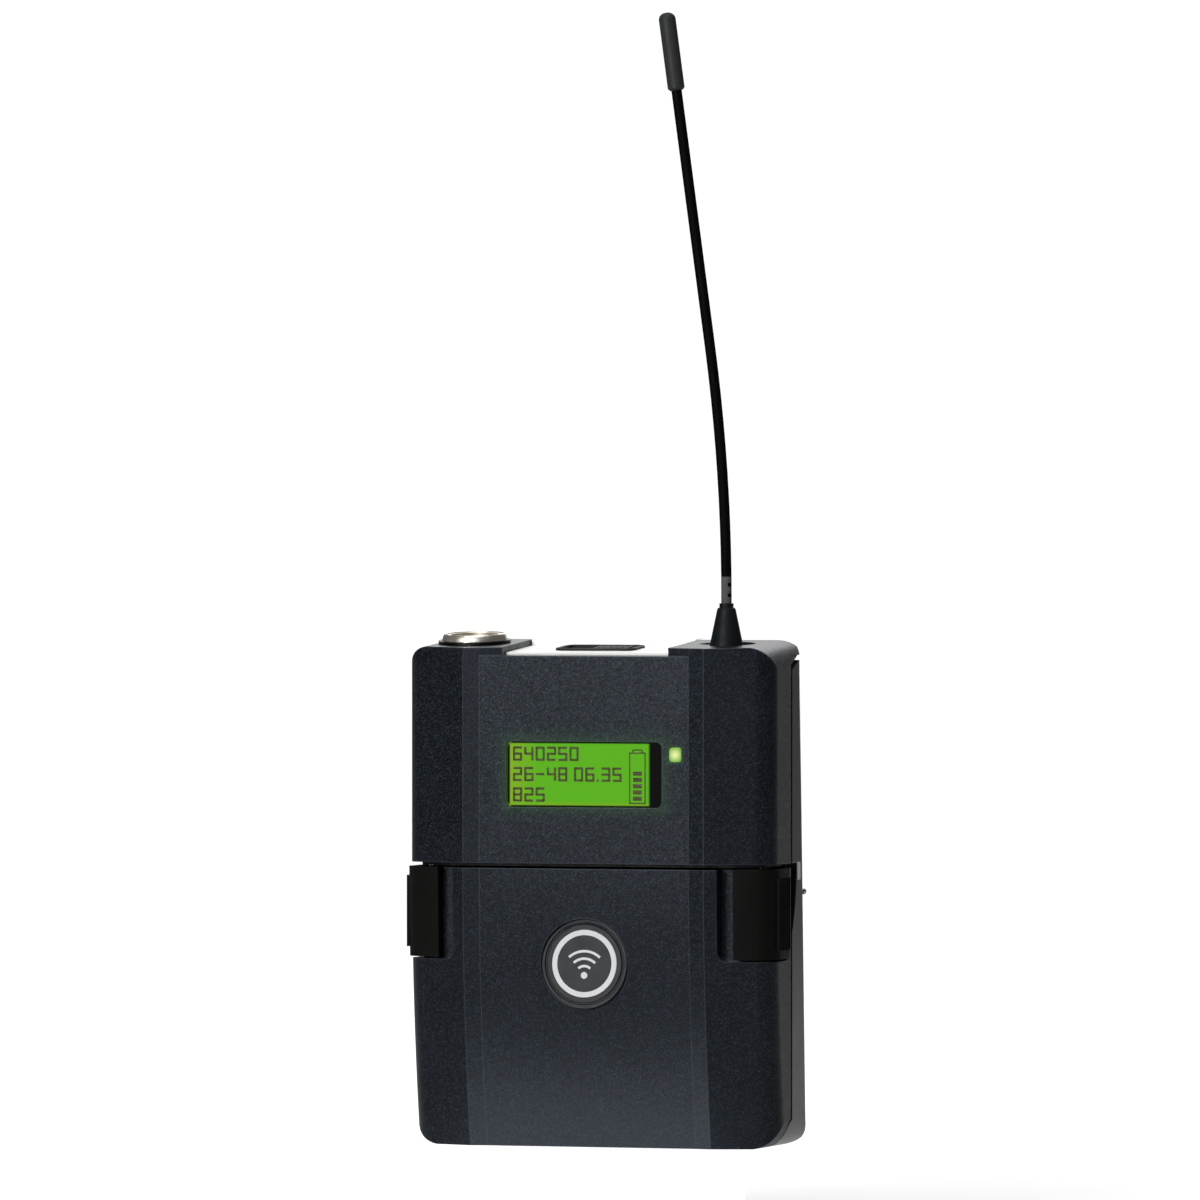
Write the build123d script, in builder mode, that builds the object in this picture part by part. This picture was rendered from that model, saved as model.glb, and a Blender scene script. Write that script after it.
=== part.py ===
"""Wireless guitar transmitter: a belt pack with a whip antenna, a display and two AA cells.

Frame: X to the right of someone facing the front, Y to the back, Z up, in millimetres.
The origin is the middle of the base of the whole pack, belt clip included.
Depths are measured backwards from the two front ridges and placed with at_depth().
"""
from build123d import *
from math import asin, cos, degrees, radians, sin, sqrt, tan
import os

os.makedirs("parts", exist_ok=True)

# --- walls and fits -------------------------------------------------------------------
WALL = 1.6
SEAM_GAP = 0.8                # between the painted shells and their neighbours
RUNNING = 0.06                # radial clearance on a pin
PRESS_GAP = 0.01              # radial clearance of a pressed pin
SLIDE_GAP = 0.2
SEAT_GAP = 0.1

# --- cells ----------------------------------------------------------------------------
CELL_R = 7.25
CELL_LENGTH = 50.5
CELL_EDGE = 0.4
CELL_NUB_R = 2.6
CELL_NUB = 1.2
CELL_GAP = 0.4
CELL_DEPTH = 13.1
CONTACT_ROOM = 2.35           # from a cell's end to the bay's end wall
BAY_END = CELL_LENGTH / 2 + CONTACT_ROOM
BAY_WALL = 1.2
BAY_FRONT = 8.0

# --- door hinge, under the cells --------------------------------------------------------
HINGE_Z = 2.0
HINGE_DEPTH = 14.4
HINGE_PIN_R = 0.6
HINGE_PIN_IN = 5.3            # the pin's end lies this far inside the pack's side
BARREL_IN = 8.5
EAR_R = 2.5
CELL_LOW_Z = HINGE_Z + sqrt((CELL_R + EAR_R + CELL_GAP / 2) ** 2
                            - (HINGE_DEPTH - CELL_DEPTH) ** 2)
CELL_PITCH = 2 * CELL_R + CELL_GAP

# --- overall form ---------------------------------------------------------------------
SIDE_ROOM = 2.2               # between the bay's end wall and the pack's side
HALF = BAY_END + BAY_WALL + SIDE_ROOM   # half of the width
LATCH_ROOM = 11.1             # above the cells, for the latches
DOOR_TOP_Z = CELL_LOW_Z + CELL_PITCH + CELL_R + LATCH_ROOM
UPPER_BOTTOM_Z = DOOR_TOP_Z + SEAM_GAP
UPPER_HEIGHT = 34.8
HEIGHT = UPPER_BOTTOM_Z + UPPER_HEIGHT  # at the front ridges; the top climbs to the back
TOP_TILT = 4.0
PANEL_IN = 13.25
PANEL_HALF = HALF - PANEL_IN  # half width of the sunk centre panel
RIDGE_IN = 10.6
RIDGE_HALF = HALF - RIDGE_IN  # where the bevel meets the wing
PANEL_DEPTH = 0.5             # the centre panel lies this far behind the ridges
WING_ANGLE = 18.0             # the wings fall back to the sides
FRONT_EDGE_R = 4.0
REAR_EDGE_R = 4.0
TOP_CORNER_R = 4.0            # seen from the front
BOTTOM_CORNER_R = 4.6
TOP_BACK_R = 4.0              # seen from the side
BOTTOM_BACK_R = 3.0
CRADLE_ROOM = 3.15            # between the cells and the back wall, at the base
BACK_DEPTH_BASE = CELL_DEPTH + CELL_R + CRADLE_ROOM + WALL
BACK_FALL = 3.6               # the back leans, so the battery end is the thicker one
BACK_DEPTH_TOP = BACK_DEPTH_BASE - BACK_FALL
BELT_GAP = 4.3
CLIP_THICK = 1.6
CLIP_INNER = BACK_DEPTH_BASE + BELT_GAP
OVERALL_DEPTH = CLIP_INNER + CLIP_THICK   # front ridges to the outside of the belt clip
SWEEP_R = 255.0               # the battery door's front curves back to the base
SWEEP_TURN = 14.0

# --- where the shells part ------------------------------------------------------------
SEAM_DEPTH = 13.4             # rear edge of the painted shells
SWEEP_TOP_Z = DOOR_TOP_Z
REAR_TOP_DROP = 3.5
REAR_TOP_Z = HEIGHT - REAR_TOP_DROP     # the rear shell's upper edge, at the seam
REAR_RISE = 1.5
REAR_RISE_Z = REAR_TOP_Z + REAR_RISE    # the edge climbs to this height
REAR_RISE_DEPTH = 18.0
TONGUE = 1.2                  # the rear shell's inner lip
TONGUE_REACH = 1.8

# --- battery bay ----------------------------------------------------------------------
HINGE_PIN_HALF = HALF - HINGE_PIN_IN
BARREL_HALF = HALF - BARREL_IN
ROOF_GAP = 0.3                # over the door's upper edge
ROOF_Z = DOOR_TOP_Z + ROOF_GAP
ROOF_THICK = 1.4
CRADLE_TRIM = 1.0
CRADLE_END = 2.0
CRADLE_SINK = 3.9             # the cradle's front lies this far behind the cells' middle
CRADLE_BOTTOM = WALL + BOTTOM_BACK_R
CRADLE_TOP = CELL_LOW_Z + CELL_PITCH + CELL_R - CRADLE_TRIM
CRADLE_DEPTH = CELL_DEPTH + CRADLE_SINK
CRADLE_HALF = CELL_LENGTH / 2 - CRADLE_END
CONTACT_STRIP = 0.4
CONTACT_TAB = 8.0             # height of a cell contact
CONTACT_FOOT = 4.5            # half depth of its feet
CONTACT_BEND = 3.4            # half depth of its bent part
CONTACT_FACE = 2.6            # half depth of a flat contact's face

# --- latches --------------------------------------------------------------------------
POCKET_IN = 8.6
POCKET_X = HALF - POCKET_IN
POCKET_HEIGHT = 14.8
POCKET_Z = DOOR_TOP_Z - POCKET_HEIGHT
POCKET_R = 1.5
LEDGE_DEPTH = 3.8
LEDGE_THICK = 1.2
LEDGE_IN = 4.0
LEDGE_END = HALF - LEDGE_IN
LATCH_IN = 6.0
LATCH_X = HALF - LATCH_IN
LATCH_GAP = 0.3
LATCH_BOTTOM = POCKET_Z + LATCH_GAP
LATCH_TOP = ROOF_Z - SLIDE_GAP
LATCH_PROUD = 0.45
LATCH_BACK = 11.3
LATCH_WALL = 1.5
LATCH_TRAVEL = 1.8
CARRIER_IN = 7.8
CARRIER_X = HALF - CARRIER_IN
CARRIER_RISE = 4.0
CARRIER_Z = POCKET_Z + CARRIER_RISE
CARRIER_HEIGHT = 7.8
CARRIER_FRONT = LEDGE_DEPTH + LEDGE_THICK + SLIDE_GAP
CARRIER_DEPTH = 2.6
STRIKE_THICK = 0.6
SPRING_POST_IN = 12.3
SPRING_POST_X = HALF - SPRING_POST_IN
SPRING_POST_DEPTH = 8.0
SPRING_STRIP = 0.35
SPRING_HEIGHT = 4.0
SPRING_WAVES = 4
GRIP_RIBS = 6
GRIP_RIB_R = 0.3

# --- display, badge and light ---------------------------------------------------------
WINDOW_DROP = 20.4
WINDOW_Z = HEIGHT - WINDOW_DROP
WINDOW_W = 26.4
WINDOW_H = 10.6
WINDOW_R = 1.0
LENS_SINK = 0.5
LIGHT_IN = 2.25
LIGHT_X = PANEL_HALF - LIGHT_IN
LIGHT_DROP = 17.1
LIGHT_Z = HEIGHT - LIGHT_DROP
LIGHT_W = 2.0
LIGHT_H = 2.3
LIGHT_R = 0.5
BADGE_DROP = 15.35
BADGE_Z = DOOR_TOP_Z - BADGE_DROP
BADGE_R = 7.25
BADGE_THICK = 0.9
BADGE_TURN = degrees(asin((SWEEP_TOP_Z - BADGE_Z) / SWEEP_R))
BADGE_DEPTH = PANEL_DEPTH + SWEEP_R * (1 - cos(radians(BADGE_TURN)))
MODULE_THICK = 3.0
BOARD_DEPTH = 8.2
BOARD_THICK = 1.6
BOARD_R = 1.0
BOARD_IN = 8.0
BOARD_HALF = HALF - BOARD_IN
BOARD_LOW = ROOF_Z + ROOF_THICK + SEAT_GAP
BOARD_DROP = 11.5
BOARD_HIGH = HEIGHT - BOARD_DROP
SHIELD_X = 6.0
SHIELD_W = 26.0
SHIELD_H = 15.0
SHIELD_DROP = 3.0
SHIELD_Z = BOARD_HIGH - SHIELD_DROP - SHIELD_H / 2
SHIELD_THICK = 3.0
SHIELD_R = 0.8

# --- top: drawn level at HEIGHT, then leaned with the top -------------------------------
RECESS_IN = 3.65
RECESS_HALF = PANEL_HALF - RECESS_IN
LIP_DROP = 1.3
LIP_Z = HEIGHT - LIP_DROP
INSERT_DROP = 0.95
INSERT_TOP_Z = HEIGHT - INSERT_DROP
INSERT_THICK = 1.5
FLOOR_Z = INSERT_TOP_Z - INSERT_THICK
INSERT_FRONT = 2.8
INSERT_BACK = 16.5
SLOT_X = -0.3
SLOT_DEPTH = 10.2
SLOT_LENGTH = 12.3
SLOT_WIDTH = 6.4
SLOT_R = 1.0
SWITCH_HEIGHT = 2 * WALL
SWITCH_HALF = 3.6
SWITCH_LEG = 1.0
SLIDER_LENGTH = 7.4
SLIDER_R = 0.8
SLIDER_RIBS = 6
SLIDER_RIB = 0.5
SLIDER_RIB_PROUD = 0.35
SLIDER_RIB_EDGE = 1.2
SOCKET_IN = 9.5
SOCKET_X = SOCKET_IN - HALF
SOCKET_DEPTH = 9.5
SOCKET_R = 4.6
SOCKET_BORE_R = 3.9
SOCKET_DEEP = 11.1
SOCKET_LOW = HEIGHT - SOCKET_DEEP
FLANGE_R = 5.9
FLANGE_THICK = 0.5
NUT_R = 5.3
NUT_THICK = 1.1
NUT_EDGE = 0.3
PIN_R = 0.5
PIN_COUNT = 3
PIN_TURN = 30.0
PIN_RING_R = 2.0
PIN_SINK = 1.0
ANTENNA_IN = 9.5
ANTENNA_X = HALF - ANTENNA_IN
ANTENNA_DEPTH = 9.0
DISH_R = 4.7
DISH_SINK = 0.7
BOOT_R = 2.6
BOOT_TOP_R = 1.45
BOOT_WAIST = 0.25
BOOT_HEIGHT = 6.6
COLLAR_R = 1.15
COLLAR_HEIGHT = 0.7
WHIP_R = 0.85
WHIP_STRAIGHT = 0.6
WHIP_BEND_R = 300.0
WHIP_BEND = 7.8
WHIP_RUN = 41.9
CAP_R = 1.38
CAP_LENGTH = 12.7
CAP_ROUND = 1.18
CAP_FOOT_ROUND = 0.35

# --- belt clip and back ---------------------------------------------------------------
PIVOT_DROP = 4.1
PIVOT_Z = DOOR_TOP_Z - PIVOT_DROP
PIVOT_GAP = 4.3               # from the pivot to the clip's inner face
PIVOT_DEPTH = CLIP_INNER - PIVOT_GAP
PIVOT_PIN_R = 0.5
PIVOT_PIN_IN = 1.0
PIVOT_PIN_HALF = HALF - PIVOT_PIN_IN
LUG_R = 1.7
LUG_IN = 6.3
LUG_OUT = HALF - LUG_IN
LUG_WIDTH = 2.4
LUG_REACH = 5.1               # half height of the clip's wider part
LUG_EDGE_R = 2.0
EAR_WIDTH = 2.5
CLIP_HALF = 19.0
CLIP_CORNER_R = 6.0
CLIP_BOTTOM = 5.0
CLIP_THUMB = 7.65
CLIP_TOP = PIVOT_Z + CLIP_THUMB
CLIP_LIP_HALF = 16.0
CLIP_LIP_GAP = 0.8
CLIP_LIP_DEPTH = BACK_DEPTH_BASE + CLIP_LIP_GAP
CLIP_LIP_STEP = 0.8
CLIP_RIBS = 4
CLIP_RIB_R = 0.35
CLIP_RIB_HALF = 11.0
CLIP_RIB_PITCH = 1.3
CLIP_RIB_EDGE = 2.2
LEAF_HALF = 6.0
LEAF_FOOT = 2.65              # the leaf spring's bends, above the pivot
LEAF_KNEE = 2.05
LEAF_TOUCH = 4.65
LEAF_LENGTH = 1.5
LEAF_FOOT_LENGTH = 4.5
SCREW_IN = 5.0
SCREW_X = HALF - SCREW_IN
SCREW_HEAD_R = 2.1
SCREW_HEAD = 1.1
SCREW_R = 1.1
SCREW_POST_R = 3.2
SCREW_SINK = 1.3
SCREW_GRIP = 7.0
SCREW_CROSS = 2.4
SCREW_CROSS_WIDTH = 0.55
SCREW_CROSS_SINK = 0.6
SCREW_RISE = 5.1
SCREW_DROP = 17.7
SCREW_HEIGHTS = (UPPER_BOTTOM_Z + SCREW_RISE, HEIGHT - SCREW_DROP)
POST_FRONT = 16.0             # where the bosses of the two shells meet
CONTACT_DEPTH = 16.9          # charging contacts in the sides
CONTACT_WIDTH = 1.6
CONTACT_DROP = 1.9
CONTACT_Z = DOOR_TOP_Z - CONTACT_DROP
CONTACT_HEIGHT = 2.8
CONTACT_THICK = 0.8
SCOOP_TOP_DEPTH = 16.7
SCOOP_TOP_Z = UPPER_BOTTOM_Z
SCOOP_HEIGHT = 12.7
SCOOP_BOTTOM_Z = SCOOP_TOP_Z - SCOOP_HEIGHT
SCOOP_SINK = 1.1

FRONT_Y = -OVERALL_DEPTH / 2
BEYOND = OVERALL_DEPTH + WALL
FAR = 2 * HEIGHT              # longer than anything, for cutting tools
CUT_OVER = 0.02               # a cutting outline stands this far outside a shared side
TOP_RISE = tan(radians(TOP_TILT))


def at_depth(depth):
    """Y of a place so far behind the front ridges."""
    return FRONT_Y + depth


def back_depth(z):
    """Depth of the leaning back at a height."""
    return BACK_DEPTH_BASE - (BACK_DEPTH_BASE - BACK_DEPTH_TOP) * z / HEIGHT


def top_z(depth):
    """Height of the leaning top at a depth."""
    return HEIGHT + depth * TOP_RISE


def wing_depth(x):
    """Depth of the wing's face at a distance from the middle."""
    return (x - RIDGE_HALF) * tan(radians(WING_ANGLE))


def slab(x0, x1, depth0, depth1, z0, z1, mode=Mode.ADD):
    """A plain block between two corners, given by depths."""
    middle = ((x0 + x1) / 2, at_depth((depth0 + depth1) / 2), (z0 + z1) / 2)
    with Locations(middle):
        Box(x1 - x0, depth1 - depth0, z1 - z0, mode=mode)


def rod(axis_depth, axis_z, radius, x0, x1, mode=Mode.ADD):
    """A round bar along X."""
    with Locations(Location(((x0 + x1) / 2, at_depth(axis_depth), axis_z), (0, 90, 0))):
        Cylinder(radius, x1 - x0, mode=mode)


def upright(x, depth, z0, z1, radius, mode=Mode.ADD):
    """A round bar along Z."""
    with Locations((x, at_depth(depth), (z0 + z1) / 2)):
        Cylinder(radius, z1 - z0, mode=mode)


def plan_sketch(inset):
    """The outline seen from above: sunk panel, bevels, ridges, wings, straight sides."""
    side_front = at_depth(wing_depth(HALF))
    with BuildSketch(Plane.XY.offset(SWEEP_TOP_Z)) as plan:
        with BuildLine():
            Polyline(
                (0, at_depth(PANEL_DEPTH)),
                (PANEL_HALF, at_depth(PANEL_DEPTH)),
                (RIDGE_HALF, at_depth(0)),
                (HALF, side_front),
                (HALF, OVERALL_DEPTH),
                (0, OVERALL_DEPTH),
            )
            mirror(about=Plane.YZ)
        make_face()
        corners = vertices().filter_by_position(Axis.Y, side_front - CUT_OVER,
                                                side_front + CUT_OVER)
        fillet(corners, FRONT_EDGE_R)
        if inset != 0:
            offset(amount=-inset, kind=Kind.INTERSECTION, mode=Mode.REPLACE)
    return plan.sketch


def swept_front(inset, rise):
    """The outline from above drawn up by a rise and carried down the curved front."""
    plan = plan_sketch(inset)
    with BuildPart() as form:
        extrude(plan, amount=rise)
        sweep_axis = Axis((0, at_depth(SWEEP_R), SWEEP_TOP_Z), (1, 0, 0))
        revolve(plan.faces(), axis=sweep_axis, revolution_arc=SWEEP_TURN)
    return form.part


def body_form(inset):
    """The closed form of the whole pack, drawn in by an inset on every side."""
    lean = (BACK_DEPTH_BASE - BACK_DEPTH_TOP) / HEIGHT
    side = HALF - inset + CUT_OVER
    front_top = top_z(-WALL) - inset
    rear_depth = (BACK_DEPTH_BASE - inset - lean * (HEIGHT - inset)) / (1 + lean * TOP_RISE)
    rear_top = top_z(rear_depth) - inset
    with BuildPart() as form:
        add(swept_front(inset, HEIGHT - SWEEP_TOP_Z + OVERALL_DEPTH * TOP_RISE))
        # the side view: flat base, leaning top and back, rounded at the back
        with BuildSketch(Plane.YZ):
            with BuildLine():
                Polyline(
                    (at_depth(-WALL), inset),
                    (at_depth(back_depth(0) - inset), inset),
                    (at_depth(rear_depth), rear_top),
                    (at_depth(-WALL), front_top),
                    close=True,
                )
            make_face()
            fillet(vertices().sort_by(Axis.X)[-1], BOTTOM_BACK_R)
            fillet(vertices().sort_by(Axis.Y)[-1], TOP_BACK_R)
        extrude(amount=2 * HALF, both=True, mode=Mode.INTERSECT)
        # the front view: rounded corners at the base
        with BuildSketch(Plane.XZ):
            with BuildLine():
                Polyline(
                    (-side, inset - CUT_OVER),
                    (side, inset - CUT_OVER),
                    (side, FAR),
                    (-side, FAR),
                    close=True,
                )
            make_face()
            fillet(vertices().group_by(Axis.Y)[0], BOTTOM_CORNER_R - inset / 2)
        extrude(amount=FAR, both=True, mode=Mode.INTERSECT)
        # rounded top corners that follow the leaning top
        with BuildSketch(Plane.XZ.offset(-at_depth(-WALL))):
            with BuildLine():
                Polyline(
                    (-side, -FAR),
                    (side, -FAR),
                    (side, front_top + CUT_OVER),
                    (-side, front_top + CUT_OVER),
                    close=True,
                )
            make_face()
            fillet(vertices().group_by(Axis.Y)[-1], TOP_CORNER_R - inset / 2)
        extrude(amount=FAR, dir=(0, 1, TOP_RISE), mode=Mode.INTERSECT)
        # rounded upright corners that follow the leaning back
        with BuildSketch(Plane.XY.offset(-CUT_OVER)):
            rear_y = at_depth(back_depth(0) - inset) + CUT_OVER
            with BuildLine():
                Polyline(
                    (-side, rear_y - FAR),
                    (side, rear_y - FAR),
                    (side, rear_y),
                    (-side, rear_y),
                    close=True,
                )
            make_face()
            fillet(vertices().group_by(Axis.Y)[-1], REAR_EDGE_R - inset / 2)
        extrude(amount=FAR, dir=(0, -lean, 1), mode=Mode.INTERSECT)
    return form.part


def screw_bar(x, z, depth0, depth1, radius, mode=Mode.ADD):
    """A round bar along Y."""
    with Locations(Location((x, at_depth((depth0 + depth1) / 2), z), (90, 0, 0))):
        Cylinder(radius, depth1 - depth0, mode=mode)


def depth_prism(corners, x0, x1):
    """A prism along X over a side view given as (depth, height) corners."""
    with BuildPart() as prism:
        with BuildSketch(Plane.YZ.offset(x0)):
            with BuildLine():
                Polyline([(at_depth(depth), height) for depth, height in corners], close=True)
            make_face()
        extrude(amount=x1 - x0)
    return prism.part


def front_block(x, z, width, height, radius, depth0, depth1):
    """A rounded rectangle seen from the front, as thick as its two depths."""
    with BuildPart() as block:
        with BuildSketch(Plane((x, at_depth(depth1), z), x_dir=(1, 0, 0), z_dir=(0, -1, 0))):
            RectangleRounded(width, height, radius)
        extrude(amount=depth1 - depth0)
    return block.part


def mirrored(shape):
    """The other hand of a part, across the middle plane."""
    return mirror(shape, about=Plane.YZ, mode=Mode.PRIVATE)


def leaned(shape):
    """A piece drawn level at the top, turned about the front edge onto the leaning top."""
    return shape.rotate(Axis((0, at_depth(0), HEIGHT), (1, 0, 0)), TOP_TILT)


def write(piece, name):
    """Label a finished piece and write it."""
    piece.label = name
    export_step(piece, "parts/" + name + ".step")


outer_form = body_form(0)
inner_form = body_form(WALL)
tongue_form = body_form(WALL + TONGUE)

# --- upper housing: one painted shell over the electronics ------------------------------
upper_region = depth_prism(
    [
        (-WALL, UPPER_BOTTOM_Z),
        (SEAM_DEPTH, UPPER_BOTTOM_Z),
        (SEAM_DEPTH, REAR_TOP_Z + SEAM_GAP),
        (REAR_RISE_DEPTH, REAR_RISE_Z + SEAM_GAP),
        (BEYOND, REAR_RISE_Z + SEAM_GAP),
        (BEYOND, FAR),
        (-WALL, FAR),
    ],
    -HALF - WALL,
    HALF + WALL,
)
# the floor under the top recess
with BuildPart() as recess_floor:
    slab(-RECESS_HALF - WALL, RECESS_HALF + WALL, PANEL_DEPTH + WALL / 2,
         INSERT_BACK + WALL, FLOOR_Z - WALL, LIP_Z)
# the recess: its walls carry the bevels on inwards, then run straight back
with BuildPart() as recess_cut:
    with BuildSketch(Plane.XY.offset(LIP_Z)):
        bevel = PANEL_DEPTH / (RIDGE_HALF - PANEL_HALF)
        turn_depth = PANEL_DEPTH + (PANEL_HALF - RECESS_HALF) * bevel
        with BuildLine():
            Polyline(
                (0, at_depth(-WALL)),
                (PANEL_HALF, at_depth(-WALL)),
                (PANEL_HALF, at_depth(PANEL_DEPTH)),
                (RECESS_HALF, at_depth(turn_depth)),
                (RECESS_HALF, at_depth(INSERT_BACK)),
                (0, at_depth(INSERT_BACK)),
            )
            mirror(about=Plane.YZ)
        make_face()
    extrude(amount=HEIGHT)
    slab(-RECESS_HALF, RECESS_HALF, INSERT_FRONT, INSERT_BACK, FLOOR_Z, HEIGHT)
    # the well for the switch under the insert
    slab(SLOT_X - SLOT_LENGTH / 2 - WALL / 2, SLOT_X + SLOT_LENGTH / 2 + WALL / 2,
         SLOT_DEPTH - SWITCH_HALF - SLIDE_GAP, SLOT_DEPTH + SWITCH_HALF + SLIDE_GAP,
         FLOOR_Z - 2 * WALL, FLOOR_Z)
    # socket hole
    upright(SOCKET_X, SOCKET_DEPTH, HEIGHT - 2 * WALL, HEIGHT + WALL, SOCKET_R + SEAT_GAP)
antenna_at = at_depth(ANTENNA_DEPTH)
antenna_foot = top_z(ANTENNA_DEPTH)
antenna_axis = Axis((ANTENNA_X, antenna_at, 0), (0, 0, 1))
with BuildPart() as antenna_dish:
    with BuildSketch(Plane.XZ.offset(-antenna_at)):
        with BuildLine():
            Polyline(
                (ANTENNA_X, antenna_foot - 2 * WALL),
                (ANTENNA_X + BOOT_R, antenna_foot - 2 * WALL),
                (ANTENNA_X + BOOT_R, antenna_foot - DISH_SINK),
                (ANTENNA_X + DISH_R, antenna_foot),
                (ANTENNA_X + DISH_R, antenna_foot + WALL),
                (ANTENNA_X, antenna_foot + WALL),
                close=True,
            )
        make_face()
    revolve(axis=antenna_axis)
panel_inner = PANEL_DEPTH + WALL
with BuildPart() as upper_housing:
    add(outer_form)
    add(inner_form, mode=Mode.SUBTRACT)
    add(upper_region, mode=Mode.INTERSECT)
    add(leaned(recess_floor.part))
    add(leaned(recess_cut.part), mode=Mode.SUBTRACT)
    add(antenna_dish.part, mode=Mode.SUBTRACT)
    # display window, status light
    add(front_block(0, WINDOW_Z, WINDOW_W, WINDOW_H, WINDOW_R, 0, panel_inner + WALL),
        mode=Mode.SUBTRACT)
    add(front_block(LIGHT_X, LIGHT_Z, LIGHT_W + SEAT_GAP, LIGHT_H + SEAT_GAP, LIGHT_R, 0,
                    panel_inner + WALL), mode=Mode.SUBTRACT)
    # screw bosses, from the wing's inner wall to the rear shell's posts
    for screw_z in SCREW_HEIGHTS:
        for side in (-1, 1):
            boss_front = wing_depth(SCREW_X + SCREW_HEAD_R) + WALL / 2
            screw_bar(side * SCREW_X, screw_z, boss_front, POST_FRONT, SCREW_HEAD_R)
            screw_bar(side * SCREW_X, screw_z, POST_FRONT - SCREW_GRIP, POST_FRONT + WALL,
                      SCREW_R, mode=Mode.SUBTRACT)
write(upper_housing.part, "upper_housing")

# --- rear housing: glossy back shell with the battery bay ------------------------------
rear_region = depth_prism(
    [
        (SEAM_DEPTH + SEAM_GAP, -WALL),
        (BEYOND, -WALL),
        (BEYOND, REAR_RISE_Z),
        (REAR_RISE_DEPTH, REAR_RISE_Z),
        (SEAM_DEPTH + SEAM_GAP, REAR_TOP_Z),
    ],
    -HALF - WALL,
    HALF + WALL,
)
tongue_front = SEAM_DEPTH - TONGUE_REACH
tongue_back = SEAM_DEPTH + SEAM_GAP + WALL
tongue_top = FLOOR_Z - WALL - SEAM_GAP
with BuildPart() as rear_tongue:
    add(body_form(WALL + SEAT_GAP / 2))
    add(tongue_form, mode=Mode.SUBTRACT)
    slab(-HALF, HALF, tongue_front, tongue_back, ROOF_Z + ROOF_THICK, tongue_top,
         mode=Mode.INTERSECT)
with BuildPart() as tongue_root:
    add(body_form(WALL / 2))
    add(tongue_form, mode=Mode.SUBTRACT)
    slab(-HALF, HALF, SEAM_DEPTH + SEAM_GAP, tongue_back, ROOF_Z + ROOF_THICK, tongue_top,
         mode=Mode.INTERSECT)
with BuildPart() as hinge_ears:
    for x in (-HALF, BARREL_HALF + SLIDE_GAP):
        rod(HINGE_DEPTH, HINGE_Z, EAR_R, x, x + HALF - BARREL_HALF - SLIDE_GAP)
        slab(x, x + HALF - BARREL_HALF - SLIDE_GAP, HINGE_DEPTH, HINGE_DEPTH + EAR_R + WALL,
             0, WALL)
    add(outer_form, mode=Mode.INTERSECT)
pivot_back = back_depth(PIVOT_Z)
with BuildPart() as scoop_part:
    with BuildSketch(Plane.YZ.offset(HALF - SCOOP_SINK)):
        with BuildLine():
            scoop_top = (at_depth(SCOOP_TOP_DEPTH), SCOOP_TOP_Z)
            scoop_bottom = (at_depth(SEAM_DEPTH), SCOOP_BOTTOM_Z)
            scoop_corner = (at_depth(SEAM_DEPTH), SCOOP_TOP_Z)
            RadiusArc(scoop_top, scoop_bottom, 2 * (SCOOP_TOP_Z - SCOOP_BOTTOM_Z))
            Polyline(scoop_bottom, scoop_corner, scoop_top)
        make_face()
    extrude(amount=SCOOP_SINK + WALL)
scoop = scoop_part.part
with BuildPart() as clip_ear:
    rod(PIVOT_DEPTH, PIVOT_Z, LUG_R, LUG_OUT + SLIDE_GAP, LUG_OUT + SLIDE_GAP + EAR_WIDTH)
    slab(LUG_OUT + SLIDE_GAP, LUG_OUT + SLIDE_GAP + EAR_WIDTH, pivot_back - WALL / 2,
         PIVOT_DEPTH, PIVOT_Z - LUG_R, PIVOT_Z + LUG_R)
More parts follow.
